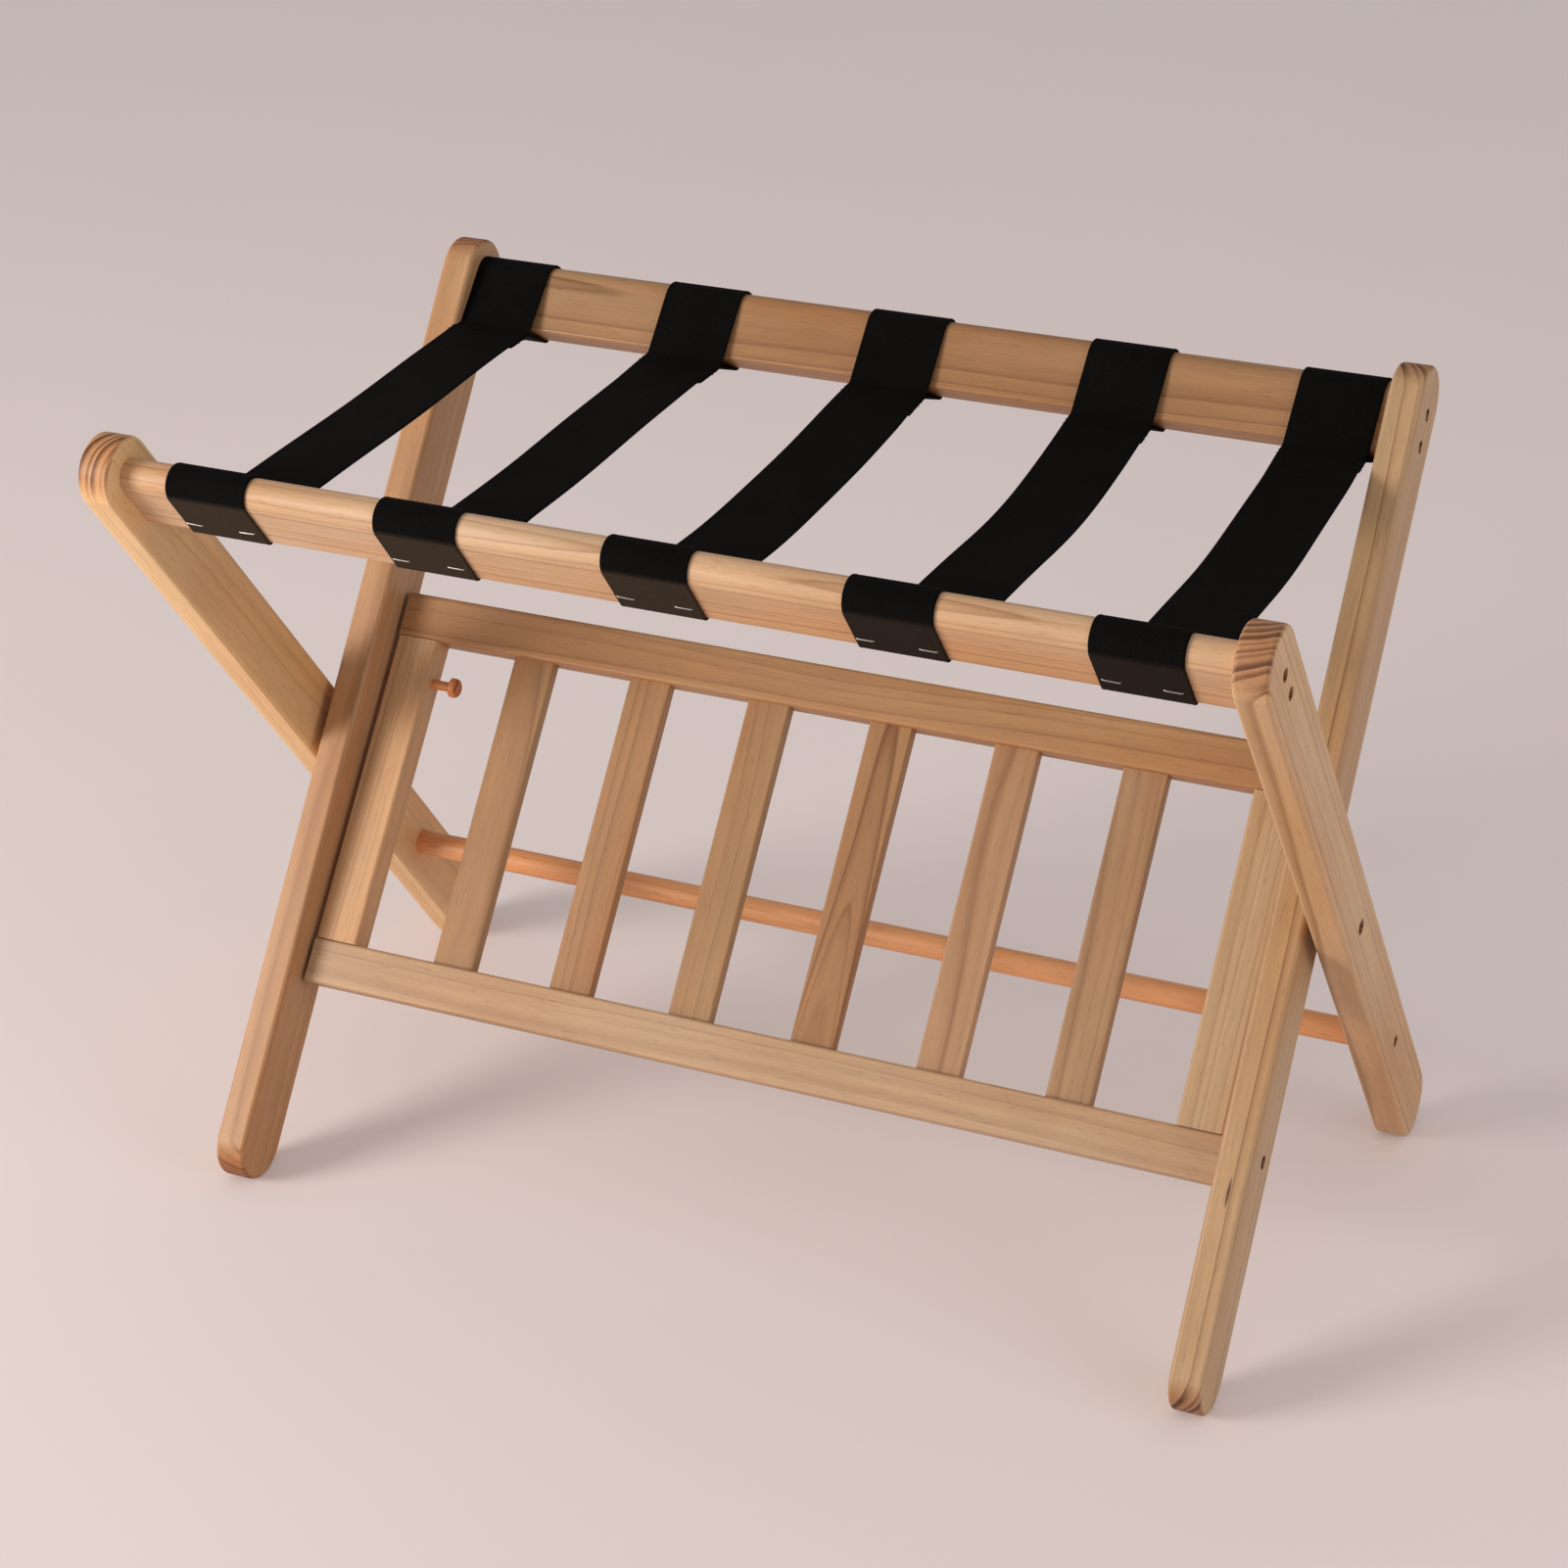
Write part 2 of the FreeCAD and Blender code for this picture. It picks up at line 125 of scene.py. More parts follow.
class TimberSettings(bpy.types.PropertyGroup):
    """Lacquered pine"""
    early: colour("Early wood", "Pale wood grown in spring", "#EFC595")
    late: colour("Late wood", "Dark line that ends each year's ring", "#A9743F")
    blush: colour("Heartwood", "Tint of the warmer wood in slow drifts", "#F0CFA6")
    turned: colour("Turned wood", "Warmer wood of the dowel and the peg", "#EFAC76")
    soaked: colour("End grain", "Tint of the ends, which soak up more lacquer", "#E2C6B4")
    pitch: colour("Pitch", "Dark resin in a pitch pocket", "#4A2F1E")
    ring: length("Ring width", "Growth of one year", 5.2)
    wander: length("Wander", "How far the rings stray from circles", 8.0)
    fibre: length("Fibre width", "Width of the finest streaks", 0.8)
    rounding: length("Rounding", "How far a sanded rim is rounded to each side", 1.0)
    fibre_stretch: level("Fibre stretch", "Length of a streak over its width", 45)
    sheen: level("Roughness", "Roughness of the satin lacquer", 0.5, max=1, subtype="FACTOR")


class WebbingSettings(bpy.types.PropertyGroup):
    """Woven webbing straps"""
    yarn: colour("Yarn", "Black spun yarn", "#050505")
    lint: colour("Lint", "Greyer yarn on the crowns of the weave", "#1A1918")
    # Painted light: paler, browner yarn on the front rail's face, standing in for light from the front
    # and below.
    painted_front_light: colour("Painted front light", "Paler, browner yarn painted on the front rail's face for light from the front", "#40352B")
    width: length("Width", "Width of a strap", 50.0)
    thickness: length("Thickness", "Thickness of a strap", 1.6)
    warp_pitch: length("Warp pitch", "Spacing of the yarns that run lengthwise", 1.5)
    weft_pitch: length("Weft pitch", "Length of one float of a warp yarn", 2.6)
    stitch_pitch: length("Stitch pitch", "Spacing of the stitches", 3.0)
    thread: length("Thread", "Diameter of the sewing thread", 0.55)


class WireSettings(bpy.types.PropertyGroup):
    """Staples"""
    crown: length("Crown", "Width of a staple", 10.0)
    wire: length("Wire", "Diameter of the staple wire", 0.85)
    leg: length("Leg", "Length of a staple's leg", 6.0)
    bend: length("Bend", "Radius of a staple's shoulders", 0.9)
    seed: IntProperty(name="Seed", description="Seed of the staples' small turns", default=4)


class StageSettings(bpy.types.PropertyGroup):
    """Camera, floor and lamps"""
    camera_place: FloatVectorProperty(name="Camera place", description="Where the camera stands",
                                      subtype="TRANSLATION", unit="LENGTH",
                                      default=(0.77304, -1.70589, 1.22183))
    camera_azimuth: angle("Azimuth", "Turn of the view from straight back", 24.673)
    camera_dip: angle("Dip", "How far the view looks down", 27.372)
    camera_roll: angle("Roll", "Turn of the view about its own line", -1.168)
    focal_length: level("Focal length", "Focal length on a 36 mm frame, in mm", 82.495)
    floor: colour("Floor", "Pale plaster floor", "#EADBD8")
    floor_glow: level("Floor glow", "How much paler the floor looks than lit", 0.16)
    sky: colour("Surround", "Soft light from all round", "#FFFFFF")
    sky_strength: level("Surround strength", "Strength of the soft light", 0.42)
    key_power: level("Key lamp", "Power of the window-like lamp, in watts", 78)
    fill_power: level("Fill lamp", "Power of the lamp on the right, in watts", 14)


# ---- Small tools ----

# The kinds of node that are added most often.
MATH = "ShaderNodeMath"
VECTOR = "ShaderNodeVectorMath"
MIX = "ShaderNodeMix"
RAMP = "ShaderNodeValToRGB"
PRINCIPLED = "ShaderNodeBsdfPrincipled"


def out(made, name=None):
    """A node's enabled output, by name or the first one."""
    return next(socket for socket in made.outputs if socket.enabled and name in (None, socket.name))


def add_node(tree, kind, *values, named=None, **settings):
    """Add a node with its settings, and fill its enabled inputs in turn and those that are named.

    An input takes a plain value, another node's output, or a node for its first output.
    """
    made = tree.nodes.new(kind)
    for name, value in settings.items():
        setattr(made, name, value)
    sockets = [socket for socket in made.inputs if socket.enabled]
    fillings = list(zip(sockets, values))
    for name, value in (named or {}).items():
        fillings.append((next(s for s in sockets if name in (s.name, s.identifier)), value))
    for socket, value in fillings:
        if isinstance(value, bpy.types.Node):
            value = out(value)
        if isinstance(value, bpy.types.NodeSocket):
            tree.links.new(value, socket)
        else:
            socket.default_value = value
    return made


def with_stops(ramp, *stops):
    """A ramp node with its straight stretches between (place, level) stops."""
    stretch = ramp.color_ramp
    while len(stretch.elements) < len(stops):
        stretch.elements.new(0.5)
    for element, (place, height) in zip(stretch.elements, stops):
        element.position = place
        element.color = (height, height, height, 1)
    return ramp


def spots(tree, place, across, along, detail=2.0):
    """Noise in spots this wide and this long up the grain, in metres."""
    shrunk = add_node(tree, VECTOR, place, (1 / across, 1 / across, 1 / along), operation="MULTIPLY")
    return add_node(tree, "ShaderNodeTexNoise", shrunk,
                    named={"Scale": 1.0, "Detail": detail, "Roughness": 0.55})


def new_tree(name, kind, inputs, outputs):
    """A node group, and inside it the sockets of its named inputs and outputs."""
    tree = bpy.data.node_groups.new(name, kind)
    for side, sockets in (("INPUT", inputs), ("OUTPUT", outputs)):
        for label, socket in sockets.items():
            tree.interface.new_socket(label, in_out=side, socket_type="NodeSocket" + socket)
    given = tree.nodes.new("NodeGroupInput").outputs
    return tree, given, tree.nodes.new("NodeGroupOutput").inputs


def new_material(name):
    """A bare material, and what adds a node to it."""
    material = bpy.data.materials.new(name)
    material.use_nodes = True
    material.node_tree.nodes.clear()
    return material, partial(add_node, material.node_tree)


def mottled(name, spot, detail, shades, rough, finish, relief=None):
    """A finish whose colour drifts between two shades in spots, and whose roughness follows it.

    Rough is how much the roughness changes and where it starts; relief is a strength and a depth.
    """
    material, add = new_material(name)
    mottle = spots(material.node_tree, out(add("ShaderNodeTexCoord"), "Object"), spot, spot, detail)
    inputs = {"Base Color": add(MIX, mottle, linear(shades[0]), linear(shades[1]), data_type="RGBA"),
              "Roughness": add(MATH, mottle, *rough, operation="MULTIPLY_ADD"), **finish}
    if relief:
        strength, depth = relief
        inputs["Normal"] = add("ShaderNodeBump", named={"Strength": strength, "Distance": depth,
                                                        "Height": mottle})
    add("ShaderNodeOutputMaterial", add(PRINCIPLED, named=inputs))
    return material


def give(node, material):
    """Put a material on a piece of the frame."""
    materials = frame["nodes"][node].data.materials
    materials.clear()
    materials.append(material)


def add_object(name, data):
    made = bpy.data.objects.new(name, data)
    bpy.context.scene.collection.objects.link(made)
    return made


def new_mesh_object(name, vertices, edges=(), faces=(), smooth=True):
    mesh = bpy.data.meshes.new(name)
    mesh.from_pydata([tuple(vertex) for vertex in vertices], edges, faces)
    mesh.polygons.foreach_set("use_smooth", [smooth] * len(mesh.polygons))
    mesh.update()
    return add_object(name, mesh)


# ---- Lacquered pine ----

# Width and length of the slow changes in a trunk.
STRAY_SIZE = (90 * MM, 550 * MM)
DRIFT_SIZE = (60 * MM, 350 * MM)
BLOTCH_SIZE = (14 * MM, 60 * MM)
# How quickly good and poor years follow each other, and how many rings they shift.
GROWTH_PACE = 0.35
GROWTH_REACH = 4.0
# How dark the late wood is through one year, on a long face and at a cut end.
THIN_LINE = ((0.0, 0.0), (0.45, 0.06), (0.76, 0.36), (0.91, 1.0), (0.97, 0.3), (1.0, 0.0))
WIDE_LINE = ((0.0, 0.0), (0.3, 0.15), (0.62, 0.9), (0.86, 1.0), (0.97, 0.5), (1.0, 0.0))
# A noise's share at which canals and heartwood show, and a face's slant at which end grain does.
CANAL_STOPS = ((0.0, 0.0), (0.63, 0.0), (0.76, 1.0))
BLUSH_STOPS = ((0.0, 0.0), (0.35, 0.0), (0.7, 0.8))
END_STOPS = ((0.0, 0.0), (0.22, 0.0), (0.75, 1.0))
POCKET_STOPS = ((0.0, 0.95), (0.6, 0.8), (1.0, 0.0))
PITCH_POCKET = (1.1 * MM, 3 * MM, 10 * MM)


def pine_pattern(timber):
    """The inside of a trunk: yearly rings about a pith that runs along Z through the origin.

    Sawn at any slant, it gives straight lines, tongues or end grain, as a real board does.
    """
    tree, given, result = new_tree(
        "pine_pattern", "ShaderNodeTree",
        {"Vector": "Vector", "End": "Float", "Early": "Color", "Contrast": "Float", "Tone and shade": "Color"},
        {"Color": "Color", "Roughness": "Float", "Height": "Float"})
    add = partial(add_node, tree)
    place = given["Vector"]
    end = given["End"]

    # Rings stray slowly from circles, so that lines drift and close into tongues.
    stray = add(VECTOR, out(spots(tree, place, *STRAY_SIZE), "Color"), (0.5, 0.5, 0.5),
                operation="SUBTRACT")
    reach = (timber.wander * 2, timber.wander * 2, 0)
    strayed = add(VECTOR, stray, reach, place, operation="MULTIPLY_ADD")
    off_pith = add(VECTOR, strayed, (1, 1, 0), operation="MULTIPLY")
    radius = add(VECTOR, off_pith, operation="LENGTH")
    even_year = add(MATH, radius, timber.ring, operation="DIVIDE")
    growth = add("ShaderNodeTexNoise", even_year, noise_dimensions="1D",
                 named={"Scale": GROWTH_PACE, "Detail": 1.0})
    year = add(MATH, growth, GROWTH_REACH, even_year, operation="MULTIPLY_ADD")
    ring = add(MATH, year, operation="FRACT")
    luck = add("ShaderNodeTexWhiteNoise", add(MATH, year, operation="FLOOR"), noise_dimensions="1D")
    season = add(MATH, luck, 0.85, 0.3, operation="MULTIPLY_ADD")
    thin = with_stops(add(RAMP, ring), *THIN_LINE)
    wide = add(MATH, with_stops(add(RAMP, ring), *WIDE_LINE), end, operation="MULTIPLY")
    late = add(MATH, add(MATH, thin, wide, operation="MAXIMUM"), season, operation="MULTIPLY")

    # Fine fibres, broader streaks, slow drifts of tone and short resin canals.
    width = timber.fibre
    stretch = width * timber.fibre_stretch
    fibres = spots(tree, place, width, stretch, 3)
    streaks = spots(tree, place, width * 7, stretch * 6, 3)
    drift = spots(tree, place, *DRIFT_SIZE)
    blotch = spots(tree, place, *BLOTCH_SIZE)
    canals = with_stops(add(RAMP, spots(tree, place, width * 1.1, width * 14, 1)), *CANAL_STOPS)

    # Late wood is stronger in a streak and at a cut end, where it is also burnt by the saw.
    streaky = add(MATH, streaks, 1.1, 0.3, operation="MULTIPLY_ADD")
    boost = add(MATH, end, 1.2, 1.0, operation="MULTIPLY_ADD")
    strength = add(MATH, given["Contrast"], streaky, operation="MULTIPLY")
    strength = add(MATH, add(MATH, strength, boost, operation="MULTIPLY"), 1.0, operation="MINIMUM")
    lined = add(MATH, late, strength, operation="MULTIPLY")
    burnt = add(MATH, end, lined, operation="MULTIPLY")
    shade = add(MIX, lined, given["Early"], timber.late, data_type="RGBA")

    # Each feature dims the wood to its share times the gain, plus the base.
    dimming = 1.0
    for feature, gain, base in ((fibres, 0.34, 0.83), (streaks, 0.3, 0.85), (canals, -0.26, 1.0),
                                (blotch, 0.24, 0.88), (burnt, -0.5, 1.0)):
        dimmed = add(MATH, feature, gain, base, operation="MULTIPLY_ADD")
        dimming = add(MATH, dimming, dimmed, operation="MULTIPLY")
    blushed = with_stops(add(RAMP, drift), *BLUSH_STOPS)
    # The tone multiplies the whole board: partly its own colour, partly painted shade.
    for share, tint in ((blushed, timber.blush), (end, timber.soaked), (1.0, given["Tone and shade"]),
                        (1.0, dimming)):
        shade = add(MIX, share, shade, tint, data_type="RGBA", blend_type="MULTIPLY")

    rough = add(MATH, fibres, 0.16, timber.sheen - 0.1, operation="MULTIPLY_ADD")
    rough = add(MATH, end, 0.12, rough, operation="MULTIPLY_ADD")
    height = add(MATH, late, 0.5, add(MATH, fibres, 0.6, operation="MULTIPLY"), operation="MULTIPLY_ADD")
    for name, value in (("Color", shade), ("Roughness", rough), ("Height", height)):
        tree.links.new(out(value), result[name])
    return tree


class Board:
    """How one piece was sawn: its axes, how far off the pith lay and to which side, its slant, how
    strong its lines are, its tone with painted shade, how far up the trunk it came from and where a
    pitch pocket shows.
    """

    def __init__(self, node, turn, pith, bearing, slant, contrast, tone, lift, pocket=None):
        self.node = node
        self.turn = turn
        self.axes = (turn @ Matrix.Rotation(math.radians(slant), 3, "X")
                     @ Matrix.Rotation(math.radians(bearing), 3, "Z"))
        self.pith = middle(node) - self.axes @ Vector((pith * MM, 0, lift))
        self.contrast = contrast
        self.tone = linear(tone)
        self.pocket = pocket


def boards():
    """Every sawn piece: pith in mm, bearing and slant in degrees, contrast, tone with painted shade,
    lift in metres.
    """
    along_outer = OUTER_TURN @ LENGTHWISE
    along_inner = INNER_TURN @ LENGTHWISE
    along_shelf = SHELF_TURN @ LENGTHWISE
    pocket = (304.6 * MM, -114.7 * MM, 114.4 * MM)
    # Each tone is partly the board's own colour and partly painted shade: the outer left leg and the
    # front rail are kept pale, and boards that face up or stand to the right are darkened for light from
    # the front-left and low.
    return [
        Board("outer_leg_left", OUTER_TURN, 62, 170, 0.6, 0.55, "#FFFFF8", 0.3),
        Board("outer_leg_right", OUTER_TURN, 50, -68, 0.5, 0.7, "#E8EAEF", 1.1),
        Board("inner_leg_left", INNER_TURN, 70, 100, 0.5, 0.6, "#D0C3BA", 2.3),
        Board("inner_leg_right", INNER_TURN, 58, -150, 0.6, 0.75, "#D3D5D8", 3.7, pocket),
        Board("front_rail", along_outer, 62, 8, 0.25, 0.8, "#E9E9F3", 4.2),
        Board("rear_rail", along_inner, 36, 70, 0.7, 0.85, "#B9AC9F", 5.9),
        Board("shelf_top_rail", along_shelf, 75, 60, 0.4, 0.5, "#C9B9AA", 6.4),
        Board("shelf_bottom_rail", along_shelf, 90, -50, 0.3, 0.45, "#D0CFD6", 7.7),
        Board("shelf_stile_left", SHELF_TURN, 66, 150, 0.5, 0.55, "#E1D9D4", 8.1),
        Board("shelf_stile_right", SHELF_TURN, 80, -20, 0.4, 0.55, "#D5D5D5", 9.6),
        Board("shelf_slat_1", SHELF_TURN, 48, 80, 0.7, 0.75, "#BBAE9E", 10.3),
        Board("shelf_slat_2", SHELF_TURN, 64, 120, 0.5, 0.7, "#C0B2A4", 11.8),
        Board("shelf_slat_3", SHELF_TURN, 50, -110, 0.7, 0.75, "#BCB1A2", 12.4),
        Board("shelf_slat_4", SHELF_TURN, 22, 95, 2.6, 0.95, "#B8A591", 13.9),
        Board("shelf_slat_5", SHELF_TURN, 42, -70, 0.6, 0.8, "#C6BAB6", 14.6),
        Board("shelf_slat_6", SHELF_TURN, 55, 60, 0.7, 0.7, "#C1BBBA", 15.2),
    ]


def pine(board, pattern, timber, turned=False):
    """Lacquered pine: pale honey wood, darker late-wood lines and a thin satin film over both.

    The eye sees grain that runs the length of the piece and rings where its end is cut. A pitch
    pocket is a thin seam of dark resin, pointed at both ends, that lies along the grain.
    """
    material, add = new_material("lacquered_pine_" + board.node)
    given = add("ShaderNodeTexCoord")
    place = out(given, "Object")
    sawn = add("ShaderNodeMapping", place, board.pith, board.axes.to_euler(), vector_type="TEXTURE")
    grain_line = board.axes @ Vector((0, 0, 1))
    facing = add(VECTOR, out(given, "Normal"), grain_line, operation="DOT_PRODUCT")
    end = with_stops(add(RAMP, add(MATH, facing, operation="ABSOLUTE")), *END_STOPS)
    grain = add("ShaderNodeGroup", node_tree=pattern, named={
        "Vector": sawn, "End": end, "Tone and shade": board.tone, "Contrast": board.contrast,
        "Early": timber.turned if turned else timber.early})
    shade = out(grain, "Color")
    if board.pocket:
        laid = add("ShaderNodeMapping", place, board.pocket, board.turn.to_euler(), PITCH_POCKET,
                   vector_type="TEXTURE")
        inside = with_stops(add(RAMP, add(VECTOR, laid, operation="LENGTH")), *POCKET_STOPS)
        shade = add(MIX, inside, shade, timber.pitch, data_type="RGBA")
    relief = add("ShaderNodeBump", named={"Strength": 0.35, "Distance": 0.2 * MM,
                                          "Height": out(grain, "Height")})
    film = add(PRINCIPLED, named={
        "Base Color": shade, "Roughness": out(grain, "Roughness"), "Normal": relief, "IOR": 1.5,
        "Coat Weight": 0.06, "Coat Roughness": 0.3})
    add("ShaderNodeOutputMaterial", film)
    return material


MERGE_WITHIN = 1e-6
FLAT_WITHIN = math.radians(0.3)
BEVEL_ANGLE = math.radians(45)
BEVEL_WITHIN = math.radians(6)
SHARP_FROM = math.radians(50)


def softened(node, name, reach):
    """A copy of a piece of the frame whose bevelled rims are worn round by hand sanding."""
    form = bmesh.new()
    form.from_mesh(frame["nodes"][node].data)
    bmesh.ops.remove_doubles(form, verts=form.verts, dist=MERGE_WITHIN)
    bmesh.ops.dissolve_limit(form, angle_limit=FLAT_WITHIN, verts=form.verts, edges=form.edges)
    rims = [edge for edge in form.edges if abs(edge.calc_face_angle(0) - BEVEL_ANGLE) < BEVEL_WITHIN]
    if not rims:
        raise RuntimeError(node + " has no bevelled rim to round")
    bmesh.ops.bevel(form, geom=rims, offset=reach, offset_type="OFFSET", segments=3, profile=0.5,
                    affect="EDGES", clamp_overlap=False)
    for face in form.faces:
        face.smooth = True
    for edge in form.edges:
        edge.smooth = edge.calc_face_angle(0) < SHARP_FROM
    mesh = bpy.data.meshes.new(name)
    form.to_mesh(mesh)
    form.free()
    made = add_object(name, mesh)
    made.modifiers.new("even_shading", "WEIGHTED_NORMAL").keep_sharp = True
    return made


class RACK_OT_boards(bpy.types.Operator):
    """Finish the sawn pieces in lacquered pine, each from its own part of the trunk"""
    bl_idname = "rack.boards"
    bl_label = "Finish the boards"

    def execute(self, context):
        timber = context.scene.rack_timber
        pattern = pine_pattern(timber)
        for board in boards():
            give(board.node, pine(board, pattern, timber))
        return {"FINISHED"}


class RACK_OT_legs(bpy.types.Operator):
    """Round the rims of the four legs, which are sanded softer than a machine leaves them"""
    bl_idname = "rack.legs"
    bl_label = "Round the legs"

    def execute(self, context):
        timber = context.scene.rack_timber
        for body in ("outer", "inner"):
            for side in ("left", "right"):
                node = "%s_leg_%s" % (body, side)
                piece = softened(node, "rounded_" + node, timber.rounding)
                piece.data.materials.append(bpy.data.materials["lacquered_pine_" + node])
                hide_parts(node)
                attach(piece, body + "_frame")
        return {"FINISHED"}


class RACK_OT_turnery(bpy.types.Operator):
    """Turn the stretcher dowel and the domed lock peg in warmer wood"""
    bl_idname = "rack.turnery"
    bl_label = "Turn the dowel and the peg"

    def execute(self, context):
        timber = context.scene.rack_timber
        pattern = bpy.data.node_groups["pine_pattern"]
        dowel = Board("stretcher_dowel", OUTER_TURN @ LENGTHWISE, 30, 40, 0.6, 0.4, "#FFFFFF", 17.1)
        peg = Board("shelf_lock_peg", SHELF_TURN @ LENGTHWISE, 26, 70, 0.6, 0.4, "#FFEEE0", 18.6)
        give(dowel.node, pine(dowel, pattern, timber, turned=True))
        piece = softened(peg.node, "domed_lock_peg", timber.rounding)
        piece.data.materials.append(pine(peg, pattern, timber, turned=True))
        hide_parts(peg.node)
        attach(piece, "lock_peg")
        return {"FINISHED"}


# ---- Screws, bolts and spacers ----

def black_oxide():
    """Blackened steel: a thin dark oxide film that keeps a dull gleam, a little patchy with oil."""
    return mottled("black_oxide_steel", 2.5 * MM, 4, ("#1A1918", "#33302D"), (0.25, 0.3),
                   {"Metallic": 0.85})


def moulded_nylon():
    """Moulded nylon: dark, slightly waxy, with a faint spark-eroded mottle."""
    return mottled("moulded_nylon", 0.8 * MM, 3, ("#2C2A28", "#3A3734"), (0.1, 0.45),
                   {"IOR": 1.53}, relief=(0.2, 0.1 * MM))


class RACK_OT_ironwork(bpy.types.Operator):
    """Finish the screws and pivot bolts in black oxide and the pivot spacers in nylon"""
    bl_idname = "rack.ironwork"
    bl_label = "Finish the ironwork"

    def execute(self, context):
        steel = black_oxide()
        nylon = moulded_nylon()
        for node in frame["nodes"]:
            if "screw" in node or "bolt" in node:
                give(node, steel)
            elif "spacer" in node:
                give(node, nylon)
        return {"FINISHED"}


# ---- Webbing straps ----
# Seen from the end, a strap follows straight runs that meet turns. A turn has a centre, a radius
# and a side, 1 for a left turn and -1 for a right one, and one without radius is a plain point.

RAIL_HEIGHT = 44 * MM
RAIL_THICKNESS = 20 * MM
RAIL_ALONG = 289 * MM
CREST_RADIUS = RAIL_THICKNESS / 2
CREST_ALONG = RAIL_ALONG + RAIL_HEIGHT / 2 - CREST_RADIUS
RAIL_BOTTOM = RAIL_ALONG - RAIL_HEIGHT / 2
RAIL_EDGE = 2 * MM
REAR_GAP = 0.3 * MM
KINK_BELOW_RAIL = 7 * MM
KINK_BEFORE_RAIL = 4 * MM
KINK_RADIUS = 6 * MM
CORNER_RADIUS = 2.5 * MM
LAP_GAP = 0.15 * MM
SAG_ROUNDNESS = 0.9
LEAST_SAG = 1.5 * MM
LOOSE_FROM = 48 * MM
ASKEW = 1.4 * MM
RUN_STEP = 5 * MM
TURN_STEP = math.radians(9)
# The slow waves of a strap's edges: their depth, and their turn for each metre and each strap.
WAVE_DEPTH = 0.35 * MM
WAVE_TURN = 41
WAVE_SHIFT = 1.7
# Places in from a strap's edge, in mm, and how thick the corded selvedge is there.
SELVEDGE = ((0.0, 0.35), (0.25, 0.8), (0.8, 1.06), (1.7, 1.1), (2.6, 0.96), (3.4, 0.94), (4.2, 1.0))
FLAT_COLUMNS = 9
END_THICKNESS = 0.55
# How squarely a strap has to face forward on the front rail to take painted light, as a cosine.
PAINTED_LIGHT_FROM = 0.93
PAINTED_LIGHT_FULLY = 0.99


def frame_point(turn, across, along):
    """The (y, z) of a point of a crossed frame: across the leg, and up along it from the pivot."""
    point = PIVOT + turn @ Vector((0, across, along))
    return Vector((point.y, point.z))


def eased(share):
    """A share that starts and ends slowly."""
    return share * share * (3 - 2 * share)


def left_of(heading):
    return Vector((-math.sin(heading), math.cos(heading)))


def run_heading(turn, following):
    """The heading of the straight run that leaves one turn and meets the next."""
    centre, radius, side = turn
    next_centre, next_radius, next_side = following
    step = next_centre - centre
    offset = next_side * next_radius - side * radius
    return math.atan2(step.y, step.x) - math.asin(offset / step.length)


def route(turns):
    """Stations (y, z, heading) along the turns and the runs between them."""
    headings = [run_heading(*pair) for pair in zip(turns, turns[1:])]
    stations = []
    for number, (centre, radius, side) in enumerate(turns):
        into = headings[max(number - 1, 0)]
        leave = headings[min(number, len(headings) - 1)]
        swing = side * ((side * (leave - into)) % math.tau) if radius > 0 else 0
        arrive = centre - left_of(into) * side * radius
        if stations:
            last = Vector(stations[-1][:2])
            pieces = max(1, round((arrive - last).length / RUN_STEP))
            for piece in range(1, pieces):
                stations.append((*last.lerp(arrive, piece / pieces), into))
        arcs = max(1, math.ceil(abs(swing) * max(1 / TURN_STEP, radius / RUN_STEP)))
        for piece in range(arcs + 1 if swing else 1):
            heading = into + swing * piece / arcs
            stations.append((*(centre - left_of(heading) * side * radius), heading))
    return stations


class Strap:
    """One strap: its middle at both rails, how far it sags below its kinks and how far in front of
    the middle, how much each kink stands up, how much it cups, its roll about its own length,
    the length of its sewn laps, how far its middle strays to the right and how much painted light
    its front takes."""

    def __init__(self, number, front, rear, sag, forward, raised, cup, roll, lap, stray, painted_light_amount):
        self.number = number
        self.front = front * MM
        self.rear = rear * MM
        self.sag = sag * MM
        self.forward = forward * MM
        self.raised = (raised[0] * MM, raised[1] * MM)
        self.cup = cup * MM
        self.roll = math.radians(roll)
        self.lap = lap * MM
        self.stray = stray * MM
        self.painted_light_amount = painted_light_amount


def straps():
    """Sizes in mm, roll in degrees. The two on the left are drawn tighter than the others."""
    return [
        # The last value is how much painted light a strap's front takes, more on the left, where the
        # light comes from.
        Strap(1, -264.8, -269.5, 0.8, -27, (1.0, 2.1), 0.3, 0.5, 22, 0.4, 1.0),
        Strap(2, -135.0, -138.1, 1.4, 8, (-0.9, -0.9), 0.3, 2.3, 28, 0.0, 1.0),
        Strap(3, 0.5, -3.8, 6.1, 9, (-1.3, -1.3), -0.3, -2.1, 25, 0.8, 0.95),
        Strap(4, 136.9, 136.7, 7.2, -9, (-6.3, -1.0), 0.5, 0.0, 17, 1.4, 0.5),
        Strap(5, 268.6, 265.0, 7.4, -13, (-2.4, -1.6), 0.4, 0.7, 14, 1.0, 0.4),
    ]


def kink_turn(raised=0.0):
    """The fold where a strap leaves the rear rail's inner face, just below its lower edge."""
    across = CREST_RADIUS + KINK_BEFORE_RAIL + KINK_RADIUS
    centre = frame_point(INNER_TURN, -across, RAIL_BOTTOM - KINK_BELOW_RAIL + KINK_RADIUS)
    return centre + Vector((0, raised)), KINK_RADIUS, 1


def mirrored(turns):
    """The same turns at the other rail, in the order in which the strap meets them there."""
    return [(Vector((-centre.x, centre.y)), radius, side) for centre, radius, side in reversed(turns)]


